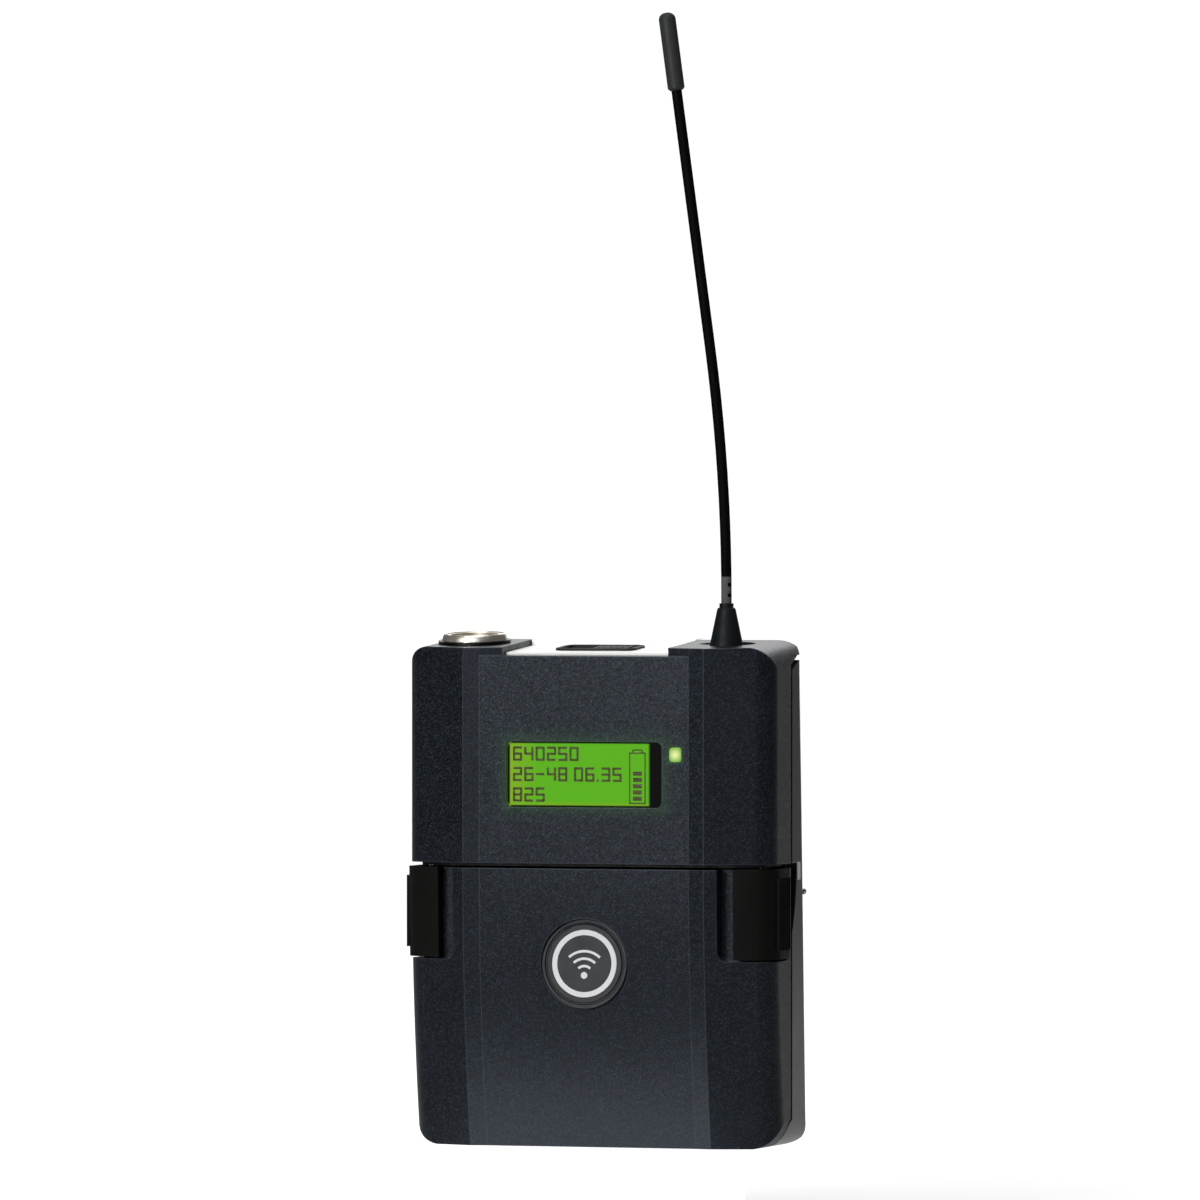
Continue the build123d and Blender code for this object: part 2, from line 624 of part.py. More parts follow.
with BuildPart() as rear_housing:
    add(outer_form)
    add(inner_form, mode=Mode.SUBTRACT)
    add(rear_region, mode=Mode.INTERSECT)
    add(rear_tongue.part)
    add(tongue_root.part)
    add(hinge_ears.part)
    add(clip_ear.part)
    add(mirrored(clip_ear.part))
    # the walls at the ends of the cells
    for side in (-1, 1):
        x_inner = min(side * BAY_END, side * (BAY_END + BAY_WALL))
        slab(x_inner, x_inner + BAY_WALL, BAY_FRONT, back_depth(POCKET_Z) - WALL / 2,
             BOTTOM_CORNER_R, POCKET_Z - SLIDE_GAP)
        slab(x_inner, x_inner + BAY_WALL, SEAM_DEPTH + SEAM_GAP,
             back_depth(BOTTOM_CORNER_R) - WALL / 2, WALL / 2, BOTTOM_CORNER_R)
    # room for the door's barrel
    slab(-BARREL_HALF - SLIDE_GAP, BARREL_HALF + SLIDE_GAP, 0,
         HINGE_DEPTH + HINGE_Z + SEAM_GAP / 2, -WALL, 2 * HINGE_Z + WALL, mode=Mode.SUBTRACT)
    rod(HINGE_DEPTH, HINGE_Z, HINGE_PIN_R + PRESS_GAP, -HINGE_PIN_HALF, HINGE_PIN_HALF,
        mode=Mode.SUBTRACT)
    rod(PIVOT_DEPTH, PIVOT_Z, PIVOT_PIN_R + PRESS_GAP, -HALF, HALF, mode=Mode.SUBTRACT)
    # screw posts and their seats in the back
    for screw_z in SCREW_HEIGHTS:
        seat = back_depth(screw_z) - SCREW_SINK
        for side in (-1, 1):
            screw_bar(side * SCREW_X, screw_z, POST_FRONT, seat, SCREW_POST_R)
            screw_bar(side * SCREW_X, screw_z, POST_FRONT - WALL, seat + WALL,
                      SCREW_R + SEAT_GAP, mode=Mode.SUBTRACT)
            screw_bar(side * SCREW_X, screw_z, seat, BEYOND, SCREW_HEAD_R + SLIDE_GAP,
                      mode=Mode.SUBTRACT)
    # finger scoops behind the latches and the seats of the charging contacts
    add(scoop, mode=Mode.SUBTRACT)
    add(mirrored(scoop), mode=Mode.SUBTRACT)
    for x in (-HALF - WALL, HALF - CONTACT_THICK):
        slab(x, x + WALL + CONTACT_THICK, CONTACT_DEPTH, CONTACT_DEPTH + CONTACT_WIDTH,
             CONTACT_Z, CONTACT_Z + CONTACT_HEIGHT, mode=Mode.SUBTRACT)

# --- battery door: the painted lower cover with a pocket for each latch ----------------
door_region = depth_prism(
    [
        (-WALL, -WALL),
        (SEAM_DEPTH, -WALL),
        (SEAM_DEPTH, DOOR_TOP_Z),
        (-WALL, DOOR_TOP_Z),
    ],
    -HALF - WALL,
    HALF + WALL,
)
with BuildPart() as pocket_frame:
    slab(POCKET_X - WALL, LEDGE_END, -WALL, LEDGE_DEPTH + LEDGE_THICK,
         POCKET_Z - WALL, DOOR_TOP_Z)
    slab(POCKET_X - WALL, HALF, -WALL, LEDGE_DEPTH + LEDGE_THICK, POCKET_Z - WALL, POCKET_Z)
    slab(BAY_END + BAY_WALL + SEAM_GAP / 2, HALF, -WALL, SEAM_DEPTH, POCKET_Z - WALL, POCKET_Z)
    slab(SPRING_POST_X - WALL, SPRING_POST_X, -WALL, SPRING_POST_DEPTH, CARRIER_Z,
         CARRIER_Z + CARRIER_HEIGHT)
with BuildPart() as pocket_cut:
    with BuildSketch(Plane.XZ.offset(-at_depth(LEDGE_DEPTH))):
        with BuildLine():
            Polyline(
                (POCKET_X, POCKET_Z),
                (HALF + WALL, POCKET_Z),
                (HALF + WALL, HEIGHT),
                (POCKET_X, HEIGHT),
                close=True,
            )
        make_face()
        fillet(vertices().group_by(Axis.Y)[0].sort_by(Axis.X)[0], POCKET_R)
    extrude(amount=OVERALL_DEPTH)
    slab(LEDGE_END, HALF + WALL, 0, LATCH_BACK + SLIDE_GAP, POCKET_Z, HEIGHT)
with BuildPart() as door_cavity:
    add(inner_form)
    add(pocket_frame.part, mode=Mode.SUBTRACT)
    add(mirrored(pocket_frame.part), mode=Mode.SUBTRACT)
badge_face = Plane(
    (0, at_depth(BADGE_DEPTH), BADGE_Z),
    x_dir=(1, 0, 0),
    z_dir=(0, -cos(radians(BADGE_TURN)), -sin(radians(BADGE_TURN))),
)
badge_middle = badge_face.offset(-BADGE_THICK / 2).location
badge_seat = badge_face.offset(-BADGE_THICK - WALL / 2).location
with BuildPart() as battery_door:
    add(outer_form)
    add(door_cavity.part, mode=Mode.SUBTRACT)
    add(door_region, mode=Mode.INTERSECT)
    add(pocket_cut.part, mode=Mode.SUBTRACT)
    add(mirrored(pocket_cut.part), mode=Mode.SUBTRACT)
    # the barrel, and room round the ears of the rear housing
    for x in (-HALF, BARREL_HALF):
        rod(HINGE_DEPTH, HINGE_Z, EAR_R + SEAM_GAP / 2, x, x + HALF - BARREL_HALF,
            mode=Mode.SUBTRACT)
    rod(HINGE_DEPTH, HINGE_Z, HINGE_Z, -BARREL_HALF, BARREL_HALF)
    slab(-BARREL_HALF, BARREL_HALF, SEAM_DEPTH - WALL, HINGE_DEPTH, 0, WALL)
    rod(HINGE_DEPTH, HINGE_Z, HINGE_PIN_R + RUNNING, -BARREL_HALF, BARREL_HALF,
        mode=Mode.SUBTRACT)
    with Locations(badge_middle):
        Cylinder(BADGE_R + SEAT_GAP, BADGE_THICK + WALL, mode=Mode.SUBTRACT)
    with Locations(badge_seat):
        Cylinder(BADGE_R + WALL, WALL)
write(battery_door.part, "battery_door")
write(rear_housing.part, "rear_housing")

# --- badge, hinge pin -------------------------------------------------------------------
with BuildPart() as badge_disc:
    with Locations(badge_middle):
        Cylinder(BADGE_R, BADGE_THICK)
write(badge_disc.part, "badge_disc")

with BuildPart() as hinge_pin:
    rod(HINGE_DEPTH, HINGE_Z, HINGE_PIN_R, -HINGE_PIN_HALF, HINGE_PIN_HALF)
write(hinge_pin.part, "hinge_pin")

# --- latches ----------------------------------------------------------------------------
with BuildPart() as latch_right:
    add(swept_front(-LATCH_PROUD, WALL))
    slab(LATCH_X, HALF + WALL, -WALL, LATCH_BACK, LATCH_BOTTOM, LATCH_TOP,
         mode=Mode.INTERSECT)
    # hollow: the front plate slides over the door's ledge
    slab(0, LEDGE_END + LATCH_TRAVEL + SEAT_GAP, LEDGE_DEPTH - SLIDE_GAP, LATCH_BACK + WALL,
         0, HEIGHT, mode=Mode.SUBTRACT)
    slab(0, HALF + LATCH_PROUD - LATCH_WALL, LEDGE_DEPTH + LEDGE_THICK + SLIDE_GAP,
         LATCH_BACK + WALL, 0, HEIGHT, mode=Mode.SUBTRACT)
    # the carrier behind the ledge, with the nose that catches the strike
    slab(CARRIER_X, HALF + LATCH_PROUD - LATCH_WALL / 2, CARRIER_FRONT,
         CARRIER_FRONT + CARRIER_DEPTH, CARRIER_Z, CARRIER_Z + CARRIER_HEIGHT)
    slab(LATCH_X + SLIDE_GAP, LEDGE_END + SLIDE_GAP, CARRIER_FRONT + CARRIER_DEPTH,
         CARRIER_FRONT + CARRIER_DEPTH + LATCH_WALL, CARRIER_Z + LATCH_WALL,
         CARRIER_Z + CARRIER_HEIGHT)
    # grip ribs down the side
    rib_pitch = (LATCH_BACK - LEDGE_DEPTH - 2 * LATCH_WALL) / (GRIP_RIBS - 1) + SLIDE_GAP
    for rib in range(GRIP_RIBS):
        rib_depth = LEDGE_DEPTH + LATCH_WALL + rib * rib_pitch
        upright(HALF + LATCH_PROUD, rib_depth, LATCH_BOTTOM + LATCH_WALL,
                LATCH_TOP - LATCH_WALL, GRIP_RIB_R)
write(latch_right.part, "latch_right")
with BuildPart() as latch_left:
    add(mirrored(latch_right.part))
write(latch_left.part, "latch_left")

# the leaf springs that push the latches out: a bent strip between post and carrier
with BuildPart() as latch_spring_right:
    with BuildSketch(Plane.XY.offset(CARRIER_Z + (CARRIER_HEIGHT - SPRING_HEIGHT) / 2)):
        with BuildLine() as spring_line:
            near = at_depth(CARRIER_FRONT + SPRING_STRIP)
            away = at_depth(CARRIER_FRONT + CARRIER_DEPTH - SPRING_STRIP)
            step = (CARRIER_X - SPRING_POST_X - SPRING_STRIP) / SPRING_WAVES
            start = SPRING_POST_X + SPRING_STRIP / 2
            points = [(start + i * step, near if i % 2 else away)
                      for i in range(SPRING_WAVES + 1)]
            Polyline(points)
        trace(spring_line.line, SPRING_STRIP)
    extrude(amount=SPRING_HEIGHT)
write(latch_spring_right.part, "latch_spring_right")
with BuildPart() as latch_spring_left:
    add(mirrored(latch_spring_right.part))
write(latch_spring_left.part, "latch_spring_left")

# --- cells, their cradle, contacts and the roof of the bay ------------------------------
def make_cell(z, flip):
    """An AA cell lying along X, with its raised end to one side."""
    with BuildPart() as cell:
        can = CELL_LENGTH - CELL_NUB
        rod(CELL_DEPTH, z, CELL_R, -CELL_LENGTH / 2, CELL_LENGTH / 2 - CELL_NUB)
        chamfer(cell.edges().filter_by(GeomType.CIRCLE), CELL_EDGE)
        rod(CELL_DEPTH, z, CELL_NUB_R, -CELL_LENGTH / 2 + can / 2, CELL_LENGTH / 2)
    return mirrored(cell.part) if flip else cell.part


with BuildPart() as cell_lower:
    add(make_cell(CELL_LOW_Z, False))
write(cell_lower.part, "cell_lower")
with BuildPart() as cell_upper:
    add(make_cell(CELL_LOW_Z + CELL_PITCH, True))
write(cell_upper.part, "cell_upper")

# the cradle fills the leaning space behind the cells
with BuildPart() as cell_cradle:
    add(depth_prism(
        [
            (CRADLE_DEPTH, CRADLE_BOTTOM),
            (back_depth(CRADLE_BOTTOM) - WALL - SEAT_GAP, CRADLE_BOTTOM),
            (back_depth(CRADLE_TOP) - WALL - SEAT_GAP, CRADLE_TOP),
            (CRADLE_DEPTH, CRADLE_TOP),
        ],
        -CRADLE_HALF,
        CRADLE_HALF,
    ))
    for z in (CELL_LOW_Z, CELL_LOW_Z + CELL_PITCH):
        rod(CELL_DEPTH, z, CELL_R + SEAT_GAP, -HALF, HALF, mode=Mode.SUBTRACT)
write(cell_cradle.part, "cell_cradle")

# sprung negative contacts and flat positive ones, riveted to the bay's end walls
with BuildPart() as contact_springs:
    for side, z in ((-1, CELL_LOW_Z), (1, CELL_LOW_Z + CELL_PITCH)):
        wall_x = side * BAY_END
        cell_x = side * (CELL_LENGTH / 2 + SEAT_GAP / 2)
        with BuildSketch(Plane.XY.offset(z - CONTACT_TAB / 2)) as strip:
            with BuildLine() as strip_line:
                half_strip = side * CONTACT_STRIP / 2
                Polyline(
                    (wall_x - half_strip, at_depth(CELL_DEPTH - CONTACT_FOOT)),
                    (wall_x - half_strip, at_depth(CELL_DEPTH - CONTACT_BEND)),
                    (cell_x + half_strip, at_depth(CELL_DEPTH)),
                    (wall_x - half_strip, at_depth(CELL_DEPTH + CONTACT_BEND)),
                    (wall_x - half_strip, at_depth(CELL_DEPTH + CONTACT_FOOT)),
                )
            trace(strip_line.line, CONTACT_STRIP)
        extrude(amount=CONTACT_TAB)
write(contact_springs.part, "contact_springs")
with BuildPart() as contact_plates:
    for side, z in ((1, CELL_LOW_Z), (-1, CELL_LOW_Z + CELL_PITCH)):
        foot_x = side * (BAY_END - CONTACT_STRIP / 2)
        face_x = side * (CELL_LENGTH / 2 + (SEAT_GAP + CONTACT_STRIP) / 2)
        with BuildSketch(Plane.XY.offset(z - CONTACT_TAB / 2)):
            with BuildLine() as plate_line:
                Polyline(
                    (foot_x, at_depth(CELL_DEPTH - CONTACT_FOOT)),
                    (foot_x, at_depth(CELL_DEPTH - CONTACT_BEND)),
                    (face_x, at_depth(CELL_DEPTH - CONTACT_FACE)),
                    (face_x, at_depth(CELL_DEPTH + CONTACT_FACE)),
                    (foot_x, at_depth(CELL_DEPTH + CONTACT_BEND)),
                    (foot_x, at_depth(CELL_DEPTH + CONTACT_FOOT)),
                )
            trace(plate_line.line, CONTACT_STRIP)
        extrude(amount=CONTACT_TAB)
write(contact_plates.part, "contact_plates")

# the roof of the bay closes the electronics off and shows as the dark line between shells
with BuildPart() as bay_roof:
    add(body_form(WALL + SEAT_GAP))
    slab(-HALF, HALF, 0, BEYOND, ROOF_Z, ROOF_Z + ROOF_THICK, mode=Mode.INTERSECT)
    for side in (-1, 1):
        upright(side * (CELL_LENGTH / 2), CELL_DEPTH, ROOF_Z - WALL,
                ROOF_Z + ROOF_THICK + WALL, WALL, mode=Mode.SUBTRACT)
write(bay_roof.part, "bay_roof")

# steel strikes under the roof, in front of the latch noses
with BuildPart() as latch_strikes:
    for side in (-1, 1):
        strike_x = LEDGE_END + SLIDE_GAP + SEAT_GAP
        x0 = min(side * strike_x, side * (strike_x + STRIKE_THICK))
        slab(x0, x0 + STRIKE_THICK, CARRIER_FRONT + CARRIER_DEPTH + SLIDE_GAP,
             LATCH_BACK + WALL, CARRIER_Z + LATCH_WALL, ROOF_Z)
write(latch_strikes.part, "latch_strikes")

# --- display, status light and electronics ----------------------------------------------
with BuildPart() as display_lens:
    add(front_block(0, WINDOW_Z, WINDOW_W - SEAT_GAP, WINDOW_H - SEAT_GAP, WINDOW_R,
                    PANEL_DEPTH + LENS_SINK, panel_inner))
write(display_lens.part, "display_lens")
with BuildPart() as display_module:
    add(front_block(0, WINDOW_Z, WINDOW_W + WALL, WINDOW_H + 3 * WALL, WINDOW_R,
                    panel_inner, panel_inner + MODULE_THICK))
    # legs that stand on the board
    for side in (-1, 1):
        leg_x = side * WINDOW_W / 2
        slab(leg_x - WALL / 2, leg_x + WALL / 2, panel_inner + MODULE_THICK, BOARD_DEPTH,
             WINDOW_Z - WINDOW_H / 2, WINDOW_Z + WINDOW_H / 2)
write(display_module.part, "display_module")
with BuildPart() as status_light:
    add(front_block(LIGHT_X, LIGHT_Z, LIGHT_W, LIGHT_H, LIGHT_R, PANEL_DEPTH - SEAT_GAP / 2,
                    BOARD_DEPTH))
    chamfer(faces().sort_by(Axis.Y)[0].edges(), SEAT_GAP)
write(status_light.part, "status_light")
with BuildPart() as main_board:
    board_middle = (BOARD_LOW + BOARD_HIGH) / 2
    add(front_block(0, board_middle, 2 * BOARD_HALF, BOARD_HIGH - BOARD_LOW, BOARD_R,
                    BOARD_DEPTH, BOARD_DEPTH + BOARD_THICK))
write(main_board.part, "main_board")
with BuildPart() as shield_can:
    add(front_block(SHIELD_X, SHIELD_Z, SHIELD_W, SHIELD_H, SHIELD_R,
                    BOARD_DEPTH + BOARD_THICK, BOARD_DEPTH + BOARD_THICK + SHIELD_THICK))
    chamfer(faces().sort_by(Axis.Y)[-1].edges(), SHIELD_R / 2)
write(shield_can.part, "shield_can")

# --- top insert with the power switch -----------------------------------------------------
with BuildPart() as top_insert:
    slab(-RECESS_HALF + SEAT_GAP, RECESS_HALF - SEAT_GAP, INSERT_FRONT + SEAT_GAP,
         INSERT_BACK - SEAT_GAP, FLOOR_Z, INSERT_TOP_Z)
    with BuildSketch(Plane.XY.offset(FLOOR_Z)):
        with Locations((SLOT_X, at_depth(SLOT_DEPTH))):
            RectangleRounded(SLOT_LENGTH, SLOT_WIDTH, SLOT_R)
    extrude(amount=INSERT_THICK, mode=Mode.SUBTRACT)
write(leaned(top_insert.part), "top_insert")
with BuildPart() as switch_body:
    slab(SLOT_X - SLOT_LENGTH / 2 - WALL / 3, SLOT_X + SLOT_LENGTH / 2 + WALL / 3,
         SLOT_DEPTH - SWITCH_HALF, SLOT_DEPTH + SWITCH_HALF, FLOOR_Z - SWITCH_HEIGHT,
         FLOOR_Z - SEAT_GAP)
with BuildPart() as power_switch:
    add(leaned(switch_body.part))
    # the leg that stands on the board
    slab(-SWITCH_LEG, SWITCH_LEG, BOARD_DEPTH, BOARD_DEPTH + BOARD_THICK, BOARD_HIGH,
         top_z(BOARD_DEPTH) - HEIGHT + FLOOR_Z - SWITCH_HEIGHT + SLIDE_GAP)
write(power_switch.part, "power_switch")
with BuildPart() as power_slider:
    slider_x1 = SLOT_X + SLOT_LENGTH / 2 - SLIDE_GAP
    slider_x0 = slider_x1 - SLIDER_LENGTH
    slider_high = INSERT_TOP_Z - SLIDE_GAP
    slab(slider_x0, slider_x1, SLOT_DEPTH - SLOT_WIDTH / 2 + SLIDE_GAP,
         SLOT_DEPTH + SLOT_WIDTH / 2 - SLIDE_GAP, FLOOR_Z + SEAT_GAP, slider_high)
    fillet(edges().filter_by(Axis.Z), SLIDER_R)
    # grip ribs across the travel
    rib_step = (SLIDER_LENGTH - 2 * SLIDER_RIB_EDGE) / (SLIDER_RIBS - 1)
    for rib in range(SLIDER_RIBS):
        rib_x = slider_x0 + SLIDER_RIB_EDGE + rib * rib_step
        slab(rib_x - SLIDER_RIB / 2, rib_x + SLIDER_RIB / 2,
             SLOT_DEPTH - SLOT_WIDTH / 2 + SLOT_R, SLOT_DEPTH + SLOT_WIDTH / 2 - SLOT_R,
             slider_high, INSERT_TOP_Z + SLIDER_RIB_PROUD)
write(leaned(power_slider.part), "power_slider")

# --- guitar input socket ------------------------------------------------------------------
nut_low = HEIGHT + FLANGE_THICK
insulator_low = SOCKET_LOW + WALL
with BuildPart() as socket_flange:
    upright(SOCKET_X, SOCKET_DEPTH, HEIGHT, nut_low, FLANGE_R)
    upright(SOCKET_X, SOCKET_DEPTH, HEIGHT, nut_low, SOCKET_R, mode=Mode.SUBTRACT)
write(leaned(socket_flange.part), "socket_flange")
with BuildPart() as socket_nut:
    upright(SOCKET_X, SOCKET_DEPTH, nut_low, nut_low + NUT_THICK, NUT_R)
    upright(SOCKET_X, SOCKET_DEPTH, nut_low, nut_low + NUT_THICK, SOCKET_R,
            mode=Mode.SUBTRACT)
    chamfer(edges().filter_by(GeomType.CIRCLE).group_by(Axis.Z)[-1], NUT_EDGE)
write(leaned(socket_nut.part), "socket_nut")
with BuildPart() as socket_shell:
    upright(SOCKET_X, SOCKET_DEPTH, SOCKET_LOW, nut_low + NUT_THICK - SLIDE_GAP, SOCKET_R)
    upright(SOCKET_X, SOCKET_DEPTH, insulator_low, HEIGHT + 2 * WALL, SOCKET_BORE_R,
            mode=Mode.SUBTRACT)
write(leaned(socket_shell.part), "socket_shell")
with BuildPart() as pin_bars:
    with BuildSketch(Plane.XY.offset(insulator_low)):
        with Locations((SOCKET_X, at_depth(SOCKET_DEPTH))):
            with PolarLocations(PIN_RING_R, PIN_COUNT, start_angle=PIN_TURN):
                Circle(PIN_R)
    extrude(amount=HEIGHT - insulator_low - PIN_SINK)
with BuildPart() as socket_insulator:
    upright(SOCKET_X, SOCKET_DEPTH, insulator_low, insulator_low + WALL, SOCKET_BORE_R)
    add(pin_bars.part, mode=Mode.SUBTRACT)
write(leaned(socket_insulator.part), "socket_insulator")
with BuildPart() as socket_pins:
    add(pin_bars.part)
    chamfer(edges().filter_by(GeomType.CIRCLE).group_by(Axis.Z)[-1], PIN_R / 2)
write(leaned(socket_pins.part), "socket_pins")

# --- antenna ------------------------------------------------------------------------------
boot_foot = ANTENNA_X + BOOT_R - SEAT_GAP
boot_root = antenna_foot - 3 * WALL
boot_low = antenna_foot - DISH_SINK
boot_high = boot_low + BOOT_HEIGHT
boot_waist = ANTENNA_X + (BOOT_R + BOOT_TOP_R) / 2 - BOOT_WAIST
whip_low = boot_high + COLLAR_HEIGHT
with BuildPart() as antenna_boot:
    with BuildSketch(Plane.XZ.offset(-antenna_at)):
        with BuildLine():
            Polyline((ANTENNA_X, boot_root), (boot_foot, boot_root), (boot_foot, boot_low))
            ThreePointArc(
                (boot_foot, boot_low),
                (boot_waist, (boot_low + boot_high) / 2),
                (ANTENNA_X + BOOT_TOP_R, boot_high),
            )
            Polyline((ANTENNA_X + BOOT_TOP_R, boot_high), (ANTENNA_X, boot_high),
                     (ANTENNA_X, boot_root))
        make_face()
    revolve(axis=antenna_axis)
write(antenna_boot.part, "antenna_boot")
with BuildPart() as antenna_collar:
    upright(ANTENNA_X, ANTENNA_DEPTH, boot_high, whip_low, COLLAR_R)
write(antenna_collar.part, "antenna_collar")
with BuildLine(Plane.XZ.offset(-antenna_at)) as whip_path:
    whip_start = Line((ANTENNA_X, whip_low), (ANTENNA_X, whip_low + WHIP_STRAIGHT))
    whip_bend = JernArc(whip_start @ 1, whip_start % 1, WHIP_BEND_R, WHIP_BEND)
    whip_run = Line(whip_bend @ 1, whip_bend @ 1 + (whip_bend % 1) * WHIP_RUN)
with BuildPart() as antenna_whip:
    with BuildSketch(Plane.XY.offset(whip_low)):
        with Locations((ANTENNA_X, antenna_at)):
            Circle(WHIP_R)
    sweep(path=whip_path.wire())
write(antenna_whip.part, "antenna_whip")
with BuildPart() as antenna_cap:
    with BuildSketch(Plane(whip_run @ 1, x_dir=(0, 1, 0), z_dir=whip_run % 1)):
        Circle(CAP_R)
    extrude(amount=CAP_LENGTH)
    fillet(edges().filter_by(GeomType.CIRCLE).sort_by(Axis.Z)[-1], CAP_ROUND)
    chamfer(edges().filter_by(GeomType.CIRCLE).sort_by(Axis.Z)[0], CAP_FOOT_ROUND)
write(antenna_cap.part, "antenna_cap")

# --- charging contacts, screws ------------------------------------------------------------
with BuildPart() as charging_contact_right:
    slab(HALF - CONTACT_THICK, HALF + SEAT_GAP, CONTACT_DEPTH, CONTACT_DEPTH + CONTACT_WIDTH,
         CONTACT_Z, CONTACT_Z + CONTACT_HEIGHT)
write(charging_contact_right.part, "charging_contact_right")
with BuildPart() as charging_contact_left:
    add(mirrored(charging_contact_right.part))
write(charging_contact_left.part, "charging_contact_left")
with BuildPart() as housing_screws:
    for screw_z in SCREW_HEIGHTS:
        seat = back_depth(screw_z) - SCREW_SINK
        for side in (-1, 1):
            screw_bar(side * SCREW_X, screw_z, seat, seat + SCREW_HEAD, SCREW_HEAD_R)
            screw_bar(side * SCREW_X, screw_z, POST_FRONT - SCREW_GRIP + SCREW_R, seat,
                      SCREW_R - SEAT_GAP / 2)
            with BuildSketch(Plane((side * SCREW_X, at_depth(seat + SCREW_HEAD), screw_z),
                                   x_dir=(1, 0, 0), z_dir=(0, 1, 0))):
                Rectangle(SCREW_CROSS, SCREW_CROSS_WIDTH)
                Rectangle(SCREW_CROSS_WIDTH, SCREW_CROSS)
            extrude(amount=-SCREW_CROSS_SINK, mode=Mode.SUBTRACT)
write(housing_screws.part, "housing_screws")

# --- belt clip ----------------------------------------------------------------------------
with BuildPart() as belt_clip:
    with BuildSketch(Plane((0, at_depth(OVERALL_DEPTH), 0), x_dir=(1, 0, 0),
                           z_dir=(0, -1, 0))):
        with Locations((0, (CLIP_BOTTOM + CLIP_TOP) / 2)):
            RectangleRounded(2 * CLIP_HALF, CLIP_TOP - CLIP_BOTTOM, CLIP_CORNER_R)
        with Locations((0, PIVOT_Z)):
            RectangleRounded(2 * LUG_OUT, 2 * LUG_REACH, LUG_EDGE_R)
    extrude(amount=CLIP_THICK)
    for side in (-1, 1):
        x0 = min(side * LUG_OUT, side * (LUG_OUT - LUG_WIDTH))
        rod(PIVOT_DEPTH, PIVOT_Z, LUG_R, x0, x0 + LUG_WIDTH)
        slab(x0, x0 + LUG_WIDTH, PIVOT_DEPTH, CLIP_INNER, PIVOT_Z - LUG_R, PIVOT_Z + LUG_R)
    # the lip that keeps a belt in
    add(depth_prism(
        [
            (CLIP_INNER, CLIP_BOTTOM + CLIP_LIP_STEP),
            (CLIP_LIP_DEPTH + CLIP_LIP_STEP, CLIP_BOTTOM + 2 * CLIP_LIP_STEP),
            (CLIP_LIP_DEPTH, CLIP_BOTTOM + 3 * CLIP_LIP_STEP),
            (CLIP_LIP_DEPTH + CLIP_LIP_STEP, CLIP_BOTTOM + 4 * CLIP_LIP_STEP),
            (CLIP_INNER, CLIP_BOTTOM + 6 * CLIP_LIP_STEP),
        ],
        -CLIP_LIP_HALF,
        CLIP_LIP_HALF,
    ))
    rod(PIVOT_DEPTH, PIVOT_Z, PIVOT_PIN_R + RUNNING, -HALF, HALF, mode=Mode.SUBTRACT)
    # grip ribs on the thumb end
    for rib in range(CLIP_RIBS):
        rod(OVERALL_DEPTH - SEAT_GAP, CLIP_TOP - CLIP_RIB_EDGE - CLIP_RIB_PITCH * rib,
            CLIP_RIB_R, -CLIP_RIB_HALF, CLIP_RIB_HALF)
    slab(-HALF, HALF, 0, OVERALL_DEPTH, 0, HEIGHT, mode=Mode.INTERSECT)
write(belt_clip.part, "belt_clip")
with BuildPart() as clip_pin:
    rod(PIVOT_DEPTH, PIVOT_Z, PIVOT_PIN_R, -PIVOT_PIN_HALF, PIVOT_PIN_HALF)
    chamfer(edges().filter_by(GeomType.CIRCLE), PIVOT_PIN_R / 2)
write(clip_pin.part, "clip_pin")
with BuildPart() as clip_spring:
    with BuildSketch(Plane.YZ.offset(-LEAF_HALF)):
        with BuildLine() as leaf_line:
            half_leaf = CONTACT_STRIP / 2 + SEAT_GAP / 2
            foot_z = PIVOT_Z + LEAF_FOOT
            foot_end = foot_z + LEAF_FOOT_LENGTH
            knee_depth = (back_depth(foot_z) + CLIP_INNER) / 2
            touch_z = PIVOT_Z + LEAF_TOUCH
            Polyline(
                (at_depth(back_depth(foot_end) + half_leaf), foot_end),
                (at_depth(back_depth(foot_z) + half_leaf), foot_z),
                (at_depth(knee_depth), PIVOT_Z + LEAF_KNEE),
                (at_depth(CLIP_INNER - half_leaf), touch_z),
                (at_depth(CLIP_INNER - half_leaf), touch_z + LEAF_LENGTH),
            )
        trace(leaf_line.line, CONTACT_STRIP)
    extrude(amount=2 * LEAF_HALF)
write(clip_spring.part, "clip_spring")
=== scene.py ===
import math

import bmesh
import bpy
from bpy.props import FloatProperty, FloatVectorProperty, IntProperty, PointerProperty
from mathutils import Matrix, Vector


